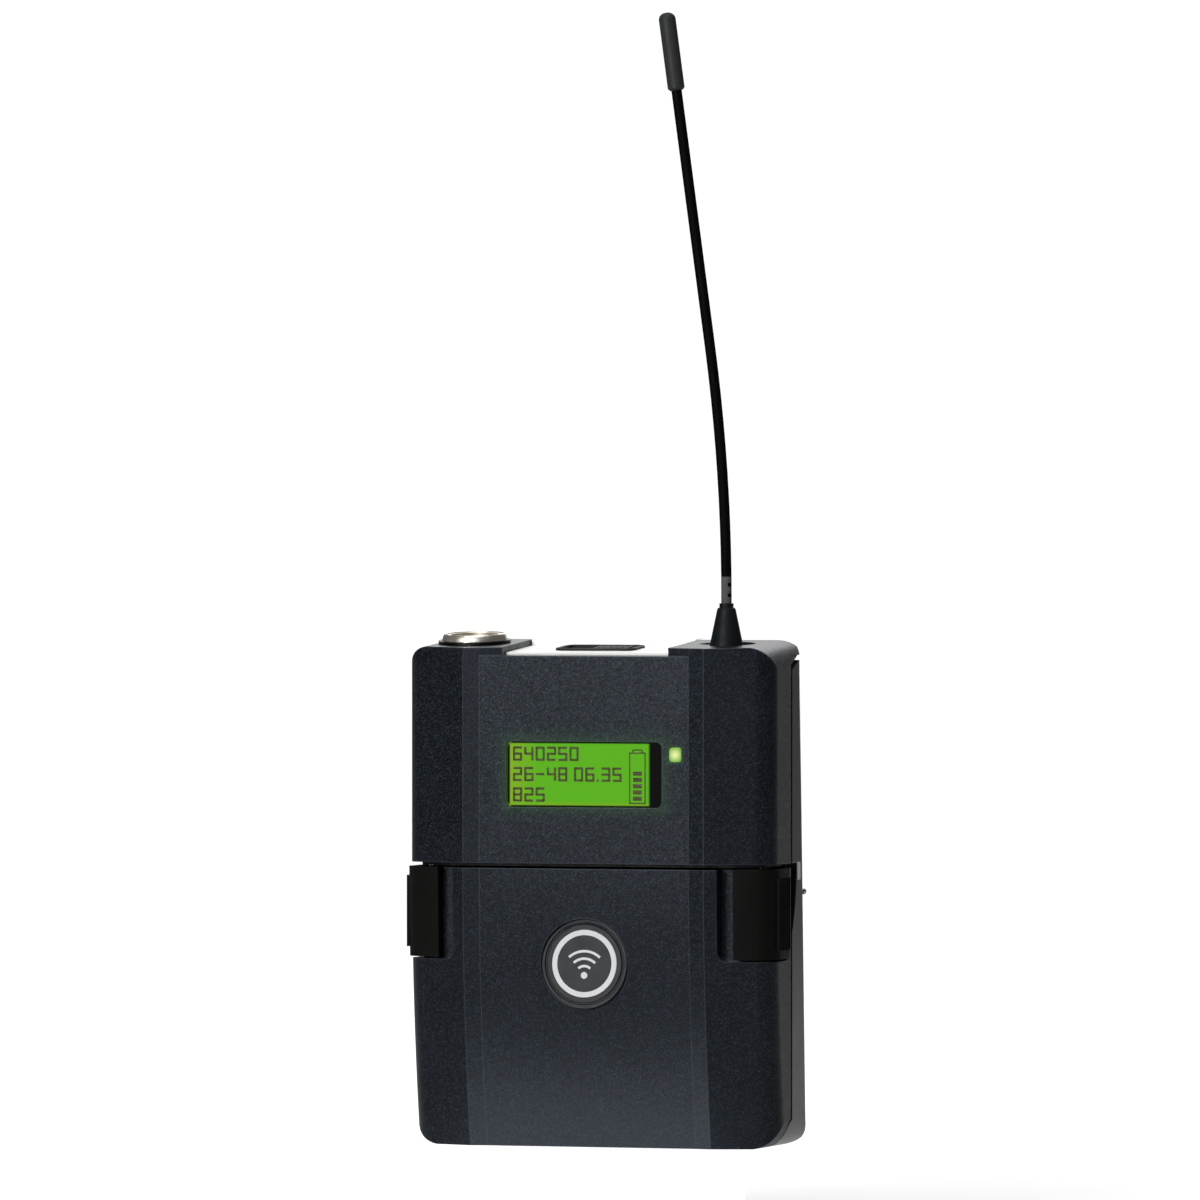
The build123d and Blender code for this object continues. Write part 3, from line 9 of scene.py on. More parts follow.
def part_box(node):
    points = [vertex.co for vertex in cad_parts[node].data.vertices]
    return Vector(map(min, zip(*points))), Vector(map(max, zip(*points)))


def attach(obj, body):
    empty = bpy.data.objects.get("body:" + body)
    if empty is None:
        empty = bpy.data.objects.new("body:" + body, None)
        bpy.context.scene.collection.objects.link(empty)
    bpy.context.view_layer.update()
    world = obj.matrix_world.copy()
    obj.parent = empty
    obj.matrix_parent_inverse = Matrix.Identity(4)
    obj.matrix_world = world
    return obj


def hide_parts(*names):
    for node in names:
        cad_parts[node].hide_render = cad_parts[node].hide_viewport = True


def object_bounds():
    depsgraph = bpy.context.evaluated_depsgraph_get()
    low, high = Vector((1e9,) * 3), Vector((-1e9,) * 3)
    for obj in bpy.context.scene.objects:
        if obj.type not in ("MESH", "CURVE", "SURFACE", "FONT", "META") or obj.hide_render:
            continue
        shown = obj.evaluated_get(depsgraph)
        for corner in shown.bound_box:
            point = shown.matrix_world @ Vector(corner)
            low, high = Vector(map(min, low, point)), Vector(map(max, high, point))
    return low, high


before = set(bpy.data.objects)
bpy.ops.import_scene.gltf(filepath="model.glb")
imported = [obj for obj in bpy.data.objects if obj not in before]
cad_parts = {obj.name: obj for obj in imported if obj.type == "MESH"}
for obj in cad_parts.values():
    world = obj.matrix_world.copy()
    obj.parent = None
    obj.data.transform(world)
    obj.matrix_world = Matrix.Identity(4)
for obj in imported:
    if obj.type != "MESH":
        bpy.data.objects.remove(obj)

bl_info = {
    "name": "Guitar Transmitter Dressing",
    "version": (1, 0, 0),
    "blender": (4, 5, 0),
    "location": "3D View > Sidebar > Transmitter",
    "description": "Finishes and small pieces for a belt pack transmitter, on its packed frame",
    "category": "Object",
}

MM = 0.001
# the whip's printed band: its height, and its dots' heights, size and place, in mm
WHIP_BAND, WHIP_DOTS, WHIP_DOT_HALF, WHIP_DOT_SIDE = 4.3, (1.3, 3.0), 0.3, 0.2
WHIP_DOT_TURN = math.radians(-18.0)
# the display's brighter rim at the left and the foot, and its cells, in mm
RIM_LEFT, RIM_LOW, DISPLAY_CELL = 5.0, 0.9, 0.4
# the light pipe's bright middle and a cell's bare steel ends, in mm
PIPE_CORE, CELL_BARE_END = 1.35, 1.6
# the rounding of moulded and of metal edges, and rubber's grain and its depth, in mm
SOFT_EDGE, METAL_EDGE, RUBBER_GRAIN = 0.15, 0.08, (0.4, 0.006)
# the top leans back by this much about a line along the pack's front, y and z in mm
TOP_LEAN = math.radians(4.0)
LEAN_LINE = (-15.5, 80.7147)
CAD_BOX = [list(corner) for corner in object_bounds()]


# --- colours and node trees ---
def linear(hex_colour):
    """An sRGB hex colour, such as "#2b2f36", as the linear colour that shaders take."""
    channels = [int(hex_colour[i:i + 2], 16) / 255 for i in (1, 3, 5)]
    return tuple(
        c / 12.92 if c <= 0.04045 else ((c + 0.055) / 1.055) ** 2.4 for c in channels
    ) + (1.0,)


def add_node(tree, kind, inputs=None, **settings):
    """Add a node, set its attributes, and give its inputs a value or a link."""
    made = tree.nodes.new(kind)
    for name, value in settings.items():
        setattr(made, name, value)
    for socket, value in (inputs or {}).items():
        if isinstance(value, bpy.types.NodeSocket):
            tree.links.new(value, made.inputs[socket])
        else:
            made.inputs[socket].default_value = value
    return made


def maths(tree, operation, *values, **settings):
    """The result of a Math node on these values."""
    return add_node(tree, "ShaderNodeMath", dict(enumerate(values)), operation=operation,
                    **settings).outputs[0]


def vector_maths(tree, operation, *values, output=0):
    """The result of a Vector Math node on these vectors."""
    return add_node(tree, "ShaderNodeVectorMath", dict(enumerate(values)),
                    operation=operation).outputs[output]


def ramp(tree, value, start, end, low=0.0, high=1.0, **settings):
    """A value that runs from low to high while another runs from start to end."""
    return add_node(tree, "ShaderNodeMapRange",
                    {"Value": value, "From Min": start, "From Max": end, "To Min": low,
                     "To Max": high}, **settings).outputs["Result"]


def blend(tree, factor, first, second, **settings):
    """Two colours mixed by a factor."""
    return add_node(tree, "ShaderNodeMix", {"Factor": factor, "A": first, "B": second},
                    data_type="RGBA", **settings).outputs["Result"]


def axes_of(tree, vector):
    """A vector's values along X, Y and Z."""
    return add_node(tree, "ShaderNodeSeparateXYZ", {"Vector": vector}).outputs


def rounded_edges(tree, radius):
    """The surface's normal, with its sharp edges rounded to this radius."""
    return add_node(tree, "ShaderNodeBevel", {"Radius": radius}, samples=4).outputs[0]


def per_size(size_mm):
    """The scale of a texture on Object coordinates whose cells are this many millimetres."""
    return 1 / (size_mm * MM)


def start_finish(name):
    """An empty material with Object coordinates, ready for its shader."""
    finish = bpy.data.materials.new(name)
    finish.use_nodes = True
    finish.node_tree.nodes.clear()
    place = add_node(finish.node_tree, "ShaderNodeTexCoord").outputs["Object"]
    return finish, finish.node_tree, place


def end_finish(tree, sockets):
    """Close a material with one Principled shader on these sockets."""
    shader = add_node(tree, "ShaderNodeBsdfPrincipled", sockets)
    add_node(tree, "ShaderNodeOutputMaterial", {"Surface": shader.outputs[0]})


def grain(tree, place, size_mm, depth_mm, normal=None):
    """A bumped normal for a moulded or cast grain of this size and depth."""
    noise = add_node(tree, "ShaderNodeTexNoise",
                     {"Vector": place, "Scale": per_size(size_mm), "Detail": 3.0})
    inputs = {"Height": noise.outputs["Fac"], "Distance": depth_mm * MM, "Strength": 1.0}
    if normal is not None:
        inputs["Normal"] = normal
    return add_node(tree, "ShaderNodeBump", inputs).outputs["Normal"]


def varied(tree, place, size_mm, low, high):
    """A value that drifts between low and high over this many millimetres."""
    noise = add_node(tree, "ShaderNodeTexNoise",
                     {"Vector": place, "Scale": per_size(size_mm), "Detail": 2.0})
    return ramp(tree, noise.outputs["Fac"], 0.3, 0.7, low, high)


def plain_finish(name, colour, drift, grained=None, edge=None, sockets=()):
    """One colour, with a drifting roughness, a grain and rounded edges."""
    finish, tree, place = start_finish(name)
    normal = rounded_edges(tree, edge) if edge else None
    if grained:
        normal = grain(tree, place, *grained, normal)
    end_finish(tree, {"Base Color": linear(colour), "Roughness": varied(tree, place, *drift),
                      "Normal": normal, **dict(sockets)})
    return finish


# --- finishes ---
def metallic_paint(settings):
    """Fine metallic spray paint on ABS: a dark blue-grey satin with small bright flakes."""
    finish, tree, place = start_finish("metallic_paint")
    # flakes are about 0.05 mm on the real shell; drawn at the size set here so they show
    flakes = add_node(tree, "ShaderNodeTexVoronoi",
                      {"Vector": place, "Scale": 1 / settings.flake_size}).outputs["Color"]
    lean = add_node(tree, "ShaderNodeVectorMath",
                    {0: vector_maths(tree, "SUBTRACT", flakes, (0.5, 0.5, 0.5)),
                     "Scale": settings.flake_tilt}, operation="SCALE").outputs[0]
    rounded = rounded_edges(tree, settings.edge_radius)
    pick = add_node(tree, "ShaderNodeSeparateColor", {"Color": flakes}).outputs[0]
    amount = maths(tree, "ADD", ramp(tree, pick, 0.6, 1.0),
                   varied(tree, place, 9.0, 0.0, 0.12), use_clamp=True)
    paint = blend(tree, amount, settings.paint_colour, settings.flake_colour)
    # a paler line painted along the edges: a painted highlight where the rounded edges would
    # catch the lamps
    normal = add_node(tree, "ShaderNodeNewGeometry").outputs["Normal"]
    agree = vector_maths(tree, "DOT_PRODUCT", rounded, normal, output="Value")
    # the lit display and the status light spill a little green onto the paint round them
    spill = maths(tree, "ADD", spilled(tree, place, "display_lens", 3.4, 0.05),
                  spilled(tree, place, "status_light", 1.1, 0.06))
    end_finish(tree, {
        # the paint, lightened to the edge colour along the edges as a painted highlight
        "Base Color": blend(tree, ramp(tree, agree, 0.9995, 0.995), paint,
                            settings.edge_highlight_colour),
        "Roughness": 0.33,
        "Specular IOR Level": 0.2,
        "Specular Tint": linear("#e4efff"),
        "Normal": vector_maths(tree, "NORMALIZE",
                               vector_maths(tree, "ADD", rounded, lean)),
        "Emission Color": settings.spill_colour,
        "Emission Strength": spill,
    })
    return finish


def beside_box(tree, place, node):
    """How far a place is from the middle of a piece's box on each axis, and its half size."""
    low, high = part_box(node)
    offset = vector_maths(tree, "SUBTRACT", place, (low + high) / 2)
    return vector_maths(tree, "ABSOLUTE", offset), (high - low) / 2


def spilled(tree, place, node, reach_mm, strength):
    """Light that fades out over a distance from the front of a lit piece."""
    away, half = beside_box(tree, place, node)
    outside = vector_maths(tree, "MAXIMUM", vector_maths(tree, "SUBTRACT", away, half),
                           (0.0, 0.0, 0.0))
    distance_out = vector_maths(tree, "LENGTH", outside, output="Value")
    fade = ramp(tree, distance_out, 0.0, reach_mm * MM, 1.0, 0.0)
    return maths(tree, "MULTIPLY", maths(tree, "POWER", fade, 2.5), strength)


def gloss_abs(settings):
    """Polished black ABS: a deep gloss with a faint ripple from the mould."""
    return plain_finish("gloss_black_abs", "#141516", (4.0, 0.1, 0.2), (6.0, 0.004),
                        settings.edge_radius)


def grained_nylon(name, colour, grain_mm=0.35, depth_mm=0.02, low=0.48, high=0.62,
                  gloss=0.5):
    """Glass-filled nylon with a spark-eroded grain: matte, with a slight broken sheen."""
    return plain_finish(name, colour, (1.5, low, high), (grain_mm, depth_mm), SOFT_EDGE * MM,
                        {"Specular IOR Level": gloss})


def plated_metal(name, colour, roughness=0.18):
    """Nickel, tin or zinc plating: a bright metal, duller where it has been handled."""
    return plain_finish(name, colour, (1.6, roughness * 0.8, roughness * 1.3),
                        edge=METAL_EDGE * MM, sockets={"Metallic": 1.0})


def soft_rubber(name, colour, gloss):
    """Moulded rubber over wire: a dull black with a soft highlight."""
    return plain_finish(name, colour, (2.0, 0.42, 0.56), RUBBER_GRAIN,
                        sockets={"Specular IOR Level": gloss})


def marked_whip():
    """Black rubber sleeve with a grey range band and two dots printed above its collar."""
    finish, tree, place = start_finish("marked_whip_rubber")
    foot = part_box("antenna_whip")[0].z
    low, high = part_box("antenna_collar")
    centre = (low + high) / 2
    offset = vector_maths(tree, "SUBTRACT", place, (centre.x, centre.y, foot))
    along = axes_of(tree, add_node(tree, "ShaderNodeVectorRotate",
                                   {"Vector": offset, "Angle": WHIP_DOT_TURN},
                                   rotation_type="Z_AXIS").outputs[0])
    band = maths(tree, "LESS_THAN", along["Z"], WHIP_BAND * MM)
    beside = maths(tree, "LESS_THAN", along["X"], WHIP_DOT_SIDE * MM)
    behind = maths(tree, "GREATER_THAN", along["Y"], 0.0)
    clear = maths(tree, "MAXIMUM", beside, behind)
    for height in WHIP_DOTS:
        dot = maths(tree, "COMPARE", along["Z"], height * MM, WHIP_DOT_HALF * MM)
        kept = maths(tree, "MAXIMUM", maths(tree, "SUBTRACT", 1.0, dot), clear)
        band = maths(tree, "MULTIPLY", band, kept)
    end_finish(tree, {
        "Base Color": blend(tree, band, linear("#050605"), linear("#50514e")),
        "Roughness": varied(tree, place, 2.0, 0.5, 0.62),
        "Specular IOR Level": 0.03,
        "Normal": grain(tree, place, *RUBBER_GRAIN),
    })
    return finish


def pale_acrylic():
    """Milky white acrylic with a soft gloss and slightly rounded edges."""
    return plain_finish("milky_acrylic", "#f6f7f3", (3.0, 0.3, 0.4), edge=SOFT_EDGE * MM)


def clear_acrylic():
    """Hard-coated clear acrylic: the display shows through its thin gloss."""
    finish, tree, place = start_finish("clear_acrylic")
    end_finish(tree, {
        "Base Color": linear("#fafdf8"),
        "Roughness": varied(tree, place, 8.0, 0.01, 0.03),
        "Transmission Weight": 1.0,
        "IOR": 1.49,
    })
    return finish


def lit_display(settings):
    """The display glass: an even green backlight, a yellower rim and a dark right margin."""
    finish, tree, place = start_finish("lit_display")
    low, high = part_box("display_lens")
    along = axes_of(tree, place)
    rim = maths(tree, "MAXIMUM",
                ramp(tree, along["X"], low.x, low.x + RIM_LEFT * MM, 1.0, 0.0),
                ramp(tree, along["Z"], low.z, low.z + RIM_LOW * MM, 1.0, 0.0))
    glow = blend(tree, rim, settings.backlight_colour, settings.rim_colour)
    # the fine grid of the display's cells
    grid = add_node(tree, "ShaderNodeTexChecker",
                    {"Vector": place, "Scale": per_size(DISPLAY_CELL),
                     "Color1": (1, 1, 1, 1), "Color2": (0.95, 0.96, 0.93, 1)})
    margin = high.x - settings.dark_margin
    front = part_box("display_module")[0].y
    light = maths(tree, "MULTIPLY",
                  ramp(tree, along["X"], margin, margin + 0.5 * MM, settings.brightness, 0.0,
                       interpolation_type="SMOOTHSTEP"),
                  ramp(tree, along["Y"], front + 0.2 * MM, front + 0.3 * MM, 1.0, 0.0))
    # painted shade: a thin dark border on the backlight where the window's edge would shadow it
    away, half = beside_box(tree, place, "display_lens")
    for side, reach in (("X", half.x), ("Z", half.z)):
        inside = ramp(tree, axes_of(tree, away)[side], reach - 0.35 * MM,
                      reach - 0.15 * MM, 1.0, 0.0)
        light = maths(tree, "MULTIPLY", light, inside)
    end_finish(tree, {
        "Base Color": linear("#050604"),
        "Roughness": 0.35,
        "Specular IOR Level": 0.3,
        "Emission Color": blend(tree, 1.0, glow, grid.outputs["Color"],
                                blend_type="MULTIPLY"),
        "Emission Strength": light,
    })
    return finish


def lit_pipe(settings):
    """A moulded light pipe: translucent acrylic that glows brightest at its middle."""
    finish, tree, place = start_finish("lit_light_pipe")
    low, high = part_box("status_light")
    centre = (low + high) / 2
    away = vector_maths(tree, "DISTANCE", place, (centre.x, low.y, centre.z),
                        output="Value")
    core = ramp(tree, away, 0.0, PIPE_CORE * MM, 1.0, 0.0,
                interpolation_type="SMOOTHSTEP")
    end_finish(tree, {
        "Base Color": linear("#2c3a12"),
        "Roughness": 0.25,
        "Emission Color": blend(tree, core, settings.pipe_colour,
                                settings.pipe_core_colour),
        "Emission Strength": settings.pipe_brightness,
    })
    return finish


def cell_sleeve():
    """Shrink sleeve on a steel can: a plain grey gloss between bare ends."""
    finish, tree, place = start_finish("cell_sleeve")
    across = maths(tree, "ABSOLUTE", axes_of(tree, place)["X"])
    bare = maths(tree, "GREATER_THAN", across,
                 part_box("cell_lower")[1].x - CELL_BARE_END * MM)
    end_finish(tree, {
        "Base Color": blend(tree, bare, linear("#54585c"), linear("#b9b8b2")),
        "Metallic": bare,
        "Roughness": varied(tree, place, 3.0, 0.22, 0.34),
        "Normal": grain(tree, place, 1.2, 0.004),
    })
    return finish


def print_ink():
    """Pad-printed white ink: flat and slightly rough on the disc."""
    return plain_finish("white_print_ink", "#cfd1d5", (0.6, 0.5, 0.62), (0.3, 0.002))


def display_ink():
    """A dark display segment: liquid crystal that stops the backlight."""
    finish, tree, place = start_finish("dark_segment")
    end_finish(tree, {
        "Base Color": linear("#0a0b04"),
        "Roughness": varied(tree, place, 0.5, 0.5, 0.6),
        "Emission Color": linear("#4a4a1a"),
        "Emission Strength": 0.7,
    })
    return finish


def solder_mask():
    """Green solder mask over glass-fibre board, with the weave just showing."""
    finish, tree, place = start_finish("solder_mask")
    weave = add_node(tree, "ShaderNodeTexWave",
                     {"Vector": place, "Scale": per_size(1.0), "Distortion": 0.4})
    end_finish(tree, {
        "Base Color": blend(tree, weave.outputs["Fac"], linear("#0c3d22"),
                            linear("#11482a")),
        "Roughness": 0.3,
        "Normal": grain(tree, place, 0.6, 0.003),
    })
    return finish


# --- meshes and pieces ---
# points closer than this are merged, and a face's corners closer than this are one, in metres
SAME_POINT, SAME_CORNER = 1e-6, 1e-8
# a cover's edges are rounded if they are this sharp and this many mm long, and by how much
COVER_SHARP, COVER_LONG, LATCH_ROUND = math.radians(50), 3.0, 0.55


def dress(finish, *nodes):
    """Give CAD nodes a finish."""
    for name in nodes:
        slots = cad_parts[name].material_slots
        if not slots:
            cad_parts[name].data.materials.append(finish)
        for each in slots:
            each.material = finish


def new_object(name, data):
    """An object at the origin, linked into the scene."""
    made = bpy.data.objects.new(name, data)
    bpy.context.scene.collection.objects.link(made)
    return made


def add_piece(name, mesh, finish, body):
    """A new piece at the origin, riding on a body, with its finish."""
    mesh.materials.clear()
    mesh.materials.append(finish)
    piece = new_object(name, mesh)
    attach(piece, body)
    return piece


def as_mesh(name, shape, smooth_angle=35.0):
    """A bmesh as a mesh with outward faces and smooth shading up to an angle."""
    bmesh.ops.remove_doubles(shape, verts=shape.verts, dist=SAME_POINT)
    bmesh.ops.recalc_face_normals(shape, faces=shape.faces)
    for face in shape.faces:
        face.smooth = True
    for edge in shape.edges:
        if len(edge.link_faces) == 2 and edge.calc_face_angle() > math.radians(smooth_angle):
            edge.smooth = False
    mesh = bpy.data.meshes.new(name)
    shape.to_mesh(mesh)
    shape.free()
    return mesh


def softened(node, radius_mm):
    """A CAD node's mesh with its long convex edges rounded."""
    shape = bmesh.new()
    shape.from_mesh(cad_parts[node].data)
    bmesh.ops.remove_doubles(shape, verts=shape.verts, dist=SAME_POINT)
    bmesh.ops.dissolve_limit(shape, angle_limit=math.radians(2.0), verts=shape.verts,
                             edges=shape.edges)
    bmesh.ops.recalc_face_normals(shape, faces=shape.faces)
    long_edges = [edge for edge in shape.edges
                  if len(edge.link_faces) == 2 and edge.is_convex
                  and edge.calc_face_angle() > COVER_SHARP
                  and edge.calc_length() > COVER_LONG * MM]
    bmesh.ops.bevel(shape, geom=long_edges, offset=radius_mm * MM, segments=4, profile=0.5,
                    affect="EDGES", clamp_overlap=True)
    bmesh.ops.triangulate(shape, faces=shape.faces)
    return as_mesh(node + "_cover", shape)


def turned(name, profile, place, axis="Z", steps=96):
    """A closed profile of (radius, height) points turned round an axis through place."""
    shape = bmesh.new()
    rings = []
    for step in range(steps):
        angle = 2 * math.pi * step / steps
        ring = []
        for radius, height in profile:
            point = Vector((radius * math.cos(angle), radius * math.sin(angle), height))
            if axis == "Y":
                point = Vector((point.x, point.z, -point.y))
            ring.append(shape.verts.new(point + Vector(place)))
        rings.append(ring)
    for step in range(steps):
        here, there = rings[step], rings[(step + 1) % steps]
        for i in range(len(profile)):
            j = (i + 1) % len(profile)
            corners = [here[i], there[i], there[j], here[j]]
            distinct = [v for n, v in enumerate(corners)
                        if all((v.co - w.co).length > SAME_CORNER for w in corners[:n])]
            if len(distinct) > 2:
                shape.faces.new(distinct)
    return as_mesh(name, shape)


def skinned(shape, rings, closed=True):
    """Faces between each ring of points and the next, and over the ends unless closed."""
    for here, there in zip(rings, rings[1:] + (rings[:1] if closed else [])):
        for i in range(len(here)):
            j = (i + 1) % len(here)
            shape.faces.new((here[i], here[j], there[j], there[i]))
    if not closed:
        shape.faces.new(rings[0])
        shape.faces.new(rings[-1][::-1])


def printed_arc(shape, centre, inner, outer, start, end, low_y, high_y, steps=64):
    """Add a flat arc band of ink in the front plane, between two angles in degrees."""
    whole = abs(end - start) >= 360
    count = max(6, int(steps * abs(end - start) / 360))
    bands = []
    for step in range(count if whole else count + 1):
        angle = math.radians(start + (end - start) * step / count)
        across, up = math.cos(angle), math.sin(angle)
        bands.append([shape.verts.new((centre.x + r * across, y, centre.z + r * up))
                      for r, y in ((inner, high_y), (outer, high_y), (outer, low_y),
                                   (inner, low_y))])
    skinned(shape, bands, whole)


def on_top(shape):
    """Turn a shape, drawn level in mm from the lean line, onto the leaning top."""
    seat = Matrix.Translation((0, LEAN_LINE[0] * MM, LEAN_LINE[1] * MM))
    shape.transform(seat @ Matrix.Rotation(TOP_LEAN, 4, "X") @ Matrix.Scale(MM, 4))


def drawn_along(name, profile, left, right):
    """A closed profile of (depth, height) drawn from side to side."""
    shape = bmesh.new()
    skinned(shape, [[shape.verts.new((x, y, z)) for y, z in profile]
                    for x in (left, right)], closed=False)
    on_top(shape)
    return as_mesh(name, shape)


def framed(name, centre, half_long, half_wide, corner, profile, steps=8):
    """A closed profile of (outset, height) taken round a rounded rectangle."""
    shape = bmesh.new()
    rings = []
    for turn, (across, along) in enumerate(((1, 1), (-1, 1), (-1, -1), (1, -1))):
        hub = (centre[0] + across * (half_long - corner),
               centre[1] + along * (half_wide - corner))
        for step in range(steps + 1):
            angle = math.pi / 2 * (turn + step / steps)
            rings.append([
                shape.verts.new((hub[0] + (corner + out) * math.cos(angle),
                                 hub[1] + (corner + out) * math.sin(angle), z))
                for out, z in profile])
    skinned(shape, rings)
    on_top(shape)
    return as_mesh(name, shape)


def bars_tree():
    """Geometry Nodes: one bar on each point, of its length, width and turn."""
    tree = bpy.data.node_groups.new("bars_on_points", "GeometryNodeTree")
    face = tree.interface
    face.new_socket("Points", in_out="INPUT", socket_type="NodeSocketGeometry")
    thick = face.new_socket("Thickness", in_out="INPUT", socket_type="NodeSocketFloat")
    thick.subtype, thick.default_value = "DISTANCE", 0.03 * MM
    face.new_socket("Finish", in_out="INPUT", socket_type="NodeSocketMaterial")
    face.new_socket("Bars", in_out="OUTPUT", socket_type="NodeSocketGeometry")
    given = add_node(tree, "NodeGroupInput")
    size = add_node(tree, "ShaderNodeCombineXYZ",
                    {"X": 1.0, "Y": given.outputs["Thickness"], "Z": 1.0})
    bar = add_node(tree, "GeometryNodeMeshCube", {"Size": size.outputs[0]})
    length, width, turn = (
        add_node(tree, "GeometryNodeInputNamedAttribute", {"Name": name},
                 data_type="FLOAT").outputs[0] for name in ("length", "width", "turn"))
    about = add_node(tree, "ShaderNodeCombineXYZ", {"Y": turn})
    stretch = add_node(tree, "ShaderNodeCombineXYZ", {"X": length, "Y": 1.0, "Z": width})
    placed = add_node(tree, "GeometryNodeInstanceOnPoints",
                      {"Points": given.outputs["Points"], "Instance": bar.outputs["Mesh"],
                       "Rotation": about.outputs[0], "Scale": stretch.outputs[0]})
    real = add_node(tree, "GeometryNodeRealizeInstances",
                    {"Geometry": placed.outputs["Instances"]})
    done = add_node(tree, "GeometryNodeSetMaterial",
                    {"Geometry": real.outputs["Geometry"],
                     "Material": given.outputs["Finish"]})
    add_node(tree, "NodeGroupOutput", {"Bars": done.outputs["Geometry"]})
    return tree


def plain_result(name, seed_mesh, tree, values):
    """The plain mesh that a Geometry Nodes tree makes from a seed mesh."""
    carrier = new_object(name, seed_mesh)
    modifier = carrier.modifiers.new(tree.name, "NODES")
    modifier.node_group = tree
    for item in tree.interface.items_tree:
        if item.item_type == "SOCKET" and item.in_out == "INPUT" and item.name in values:
            modifier[item.identifier] = values[item.name]
    graph = bpy.context.evaluated_depsgraph_get()
    mesh = bpy.data.meshes.new_from_object(carrier.evaluated_get(graph))
    bpy.data.objects.remove(carrier)
    if not mesh.polygons:
        raise RuntimeError(name + " came out empty")
    return mesh


# --- the display's figures ---
# seven-bar figures: a top, b and c right, d bottom, e and f left, g middle
FIGURES = {
    "0": "abcdef", "1": "bc", "2": "abged", "3": "abgcd", "4": "fgbc", "5": "afgcd",
    "6": "afgecd", "7": "abc", "8": "abcdefg", "9": "abfgcd", "-": "g", " ": "",
}
FIGURE_BARS = {
    "a": (0, 1, False), "g": (0, 0, False), "d": (0, -1, False),
    "f": (-1, 0.5, True), "b": (1, 0.5, True), "e": (-1, -0.5, True), "c": (1, -0.5, True),
}
DISPLAY_ROWS = ("640250", "26-48 06.35", "825")
# what a space or a point takes of the pitch, and how far a bar runs on, in strokes
SPACE_SHARE, BAR_OVERRUN = 0.4, 0.6
# how deep in the display's face the bars' middles lie, and their thickness, in mm
FIGURES_DEEP, FIGURES_THICK = 0.01, 0.05
# the battery gauge, in mm: its room to the window's lower and upper edge, the pitch, height
# and side room of its steps, its line, and its cap's rise and share of the width; the
# first step's place is a share of the pitch
GAUGE_FOOT, GAUGE_HEAD = 0.65, 1.75
GAUGE_STEP, GAUGE_STEP_HIGH, GAUGE_STEP_SIDE = 1.01, 0.7, 0.55
GAUGE_LINE, GAUGE_CAP_RISE, GAUGE_CAP_SHARE, GAUGE_FIRST = 0.22, 0.5, 0.6, 0.75


def figure_bars(text, left, middle, settings):
    """Bars (x, z, length, width, upright) of a row of plain figures, from its left end."""
    bars = []
    half_wide, half_high = settings.figure_width / 2, settings.figure_height / 2
    stroke, x = settings.stroke, left
    for mark in text:
        if mark in ". ":
            if mark == ".":
                bars.append((x, middle - half_high, stroke, stroke, False))
            x += settings.figure_pitch * SPACE_SHARE
            continue
        centre = x + half_wide
        for name in FIGURES[mark]:
            across, up, upright = FIGURE_BARS[name]
            length = half_high if upright else 2 * half_wide
            bars.append((centre + across * half_wide, middle + up * half_high,
                         length + stroke * BAR_OVERRUN, stroke, upright))
        x += settings.figure_pitch
    return bars


def battery_bars(right, low, high, settings):
    """Bars of a battery gauge: its outline, its cap and the steps of charge inside."""
    wide, tall = settings.gauge_width, high - low
    middle = right - wide / 2
    line, rise = GAUGE_LINE * MM, GAUGE_CAP_RISE * MM
    cap = wide * GAUGE_CAP_SHARE
    bars = [(middle, z, length, line, False)
            for z, length in ((low, wide), (high, wide), (high + rise, cap))]
    for side in (-1, 1):
        bars += [(middle + side * wide / 2, low + tall / 2, tall + line, line, True),
                 (middle + side * cap / 2, high + rise / 2, rise, line, True)]
    for step in range(settings.gauge_steps):
        z = low + (step + GAUGE_FIRST) * GAUGE_STEP * MM
        bars.append((middle, z, wide - 2 * GAUGE_STEP_SIDE * MM, GAUGE_STEP_HIGH * MM, False))
    return bars


def seed_points(name, bars, y):
    """Points with a length, a width and a turn, for bars_tree."""
    mesh = bpy.data.meshes.new(name)
    mesh.from_pydata([(bar[0], y, bar[1]) for bar in bars], [], [])
    columns = {"length": [bar[2] for bar in bars], "width": [bar[3] for bar in bars],
               "turn": [math.pi / 2 if bar[4] else 0.0 for bar in bars]}
    for title, values in columns.items():
        mesh.attributes.new(title, "FLOAT", "POINT").data.foreach_set("value", values)
    return mesh


# --- settings ---
def number(name, description, value, **limits):
    return FloatProperty(name=name, description=description, default=value, **limits)


def distance(name, description, millimetres):
    return number(name, description, millimetres * MM, unit="LENGTH", subtype="DISTANCE")


def angle(name, description, degrees):
    return number(name, description, math.radians(degrees), subtype="ANGLE",
                  unit="ROTATION")


def colour(name, description, hex_colour):
    return FloatVectorProperty(name=name, description=description, size=4,
                               subtype="COLOR", default=linear(hex_colour), min=0.0,
                               max=1.0)


class ShellSettings(bpy.types.PropertyGroup):
    edge_radius: distance("Edge radius", "Rounding of the shells' sharp edges", 0.25)
    flake_size: distance("Flake size", "Size of a metal flake in the paint", 0.17)
    flake_tilt: number("Flake tilt", "How far the flakes lean", 0.1, min=0.0, max=1.0)
    paint_colour: colour("Paint", "Colour of the paint between the flakes", "#07080b")
    flake_colour: colour("Flake", "Colour of the bright flakes", "#262c34")
    # the edge colour is a painted highlight along the shells' sharp edges
    edge_highlight_colour: colour("Edge", "Colour of the paint's worn edges", "#343a42")
    spill_colour: colour("Spill", "Display light on the paint", "#66d040")


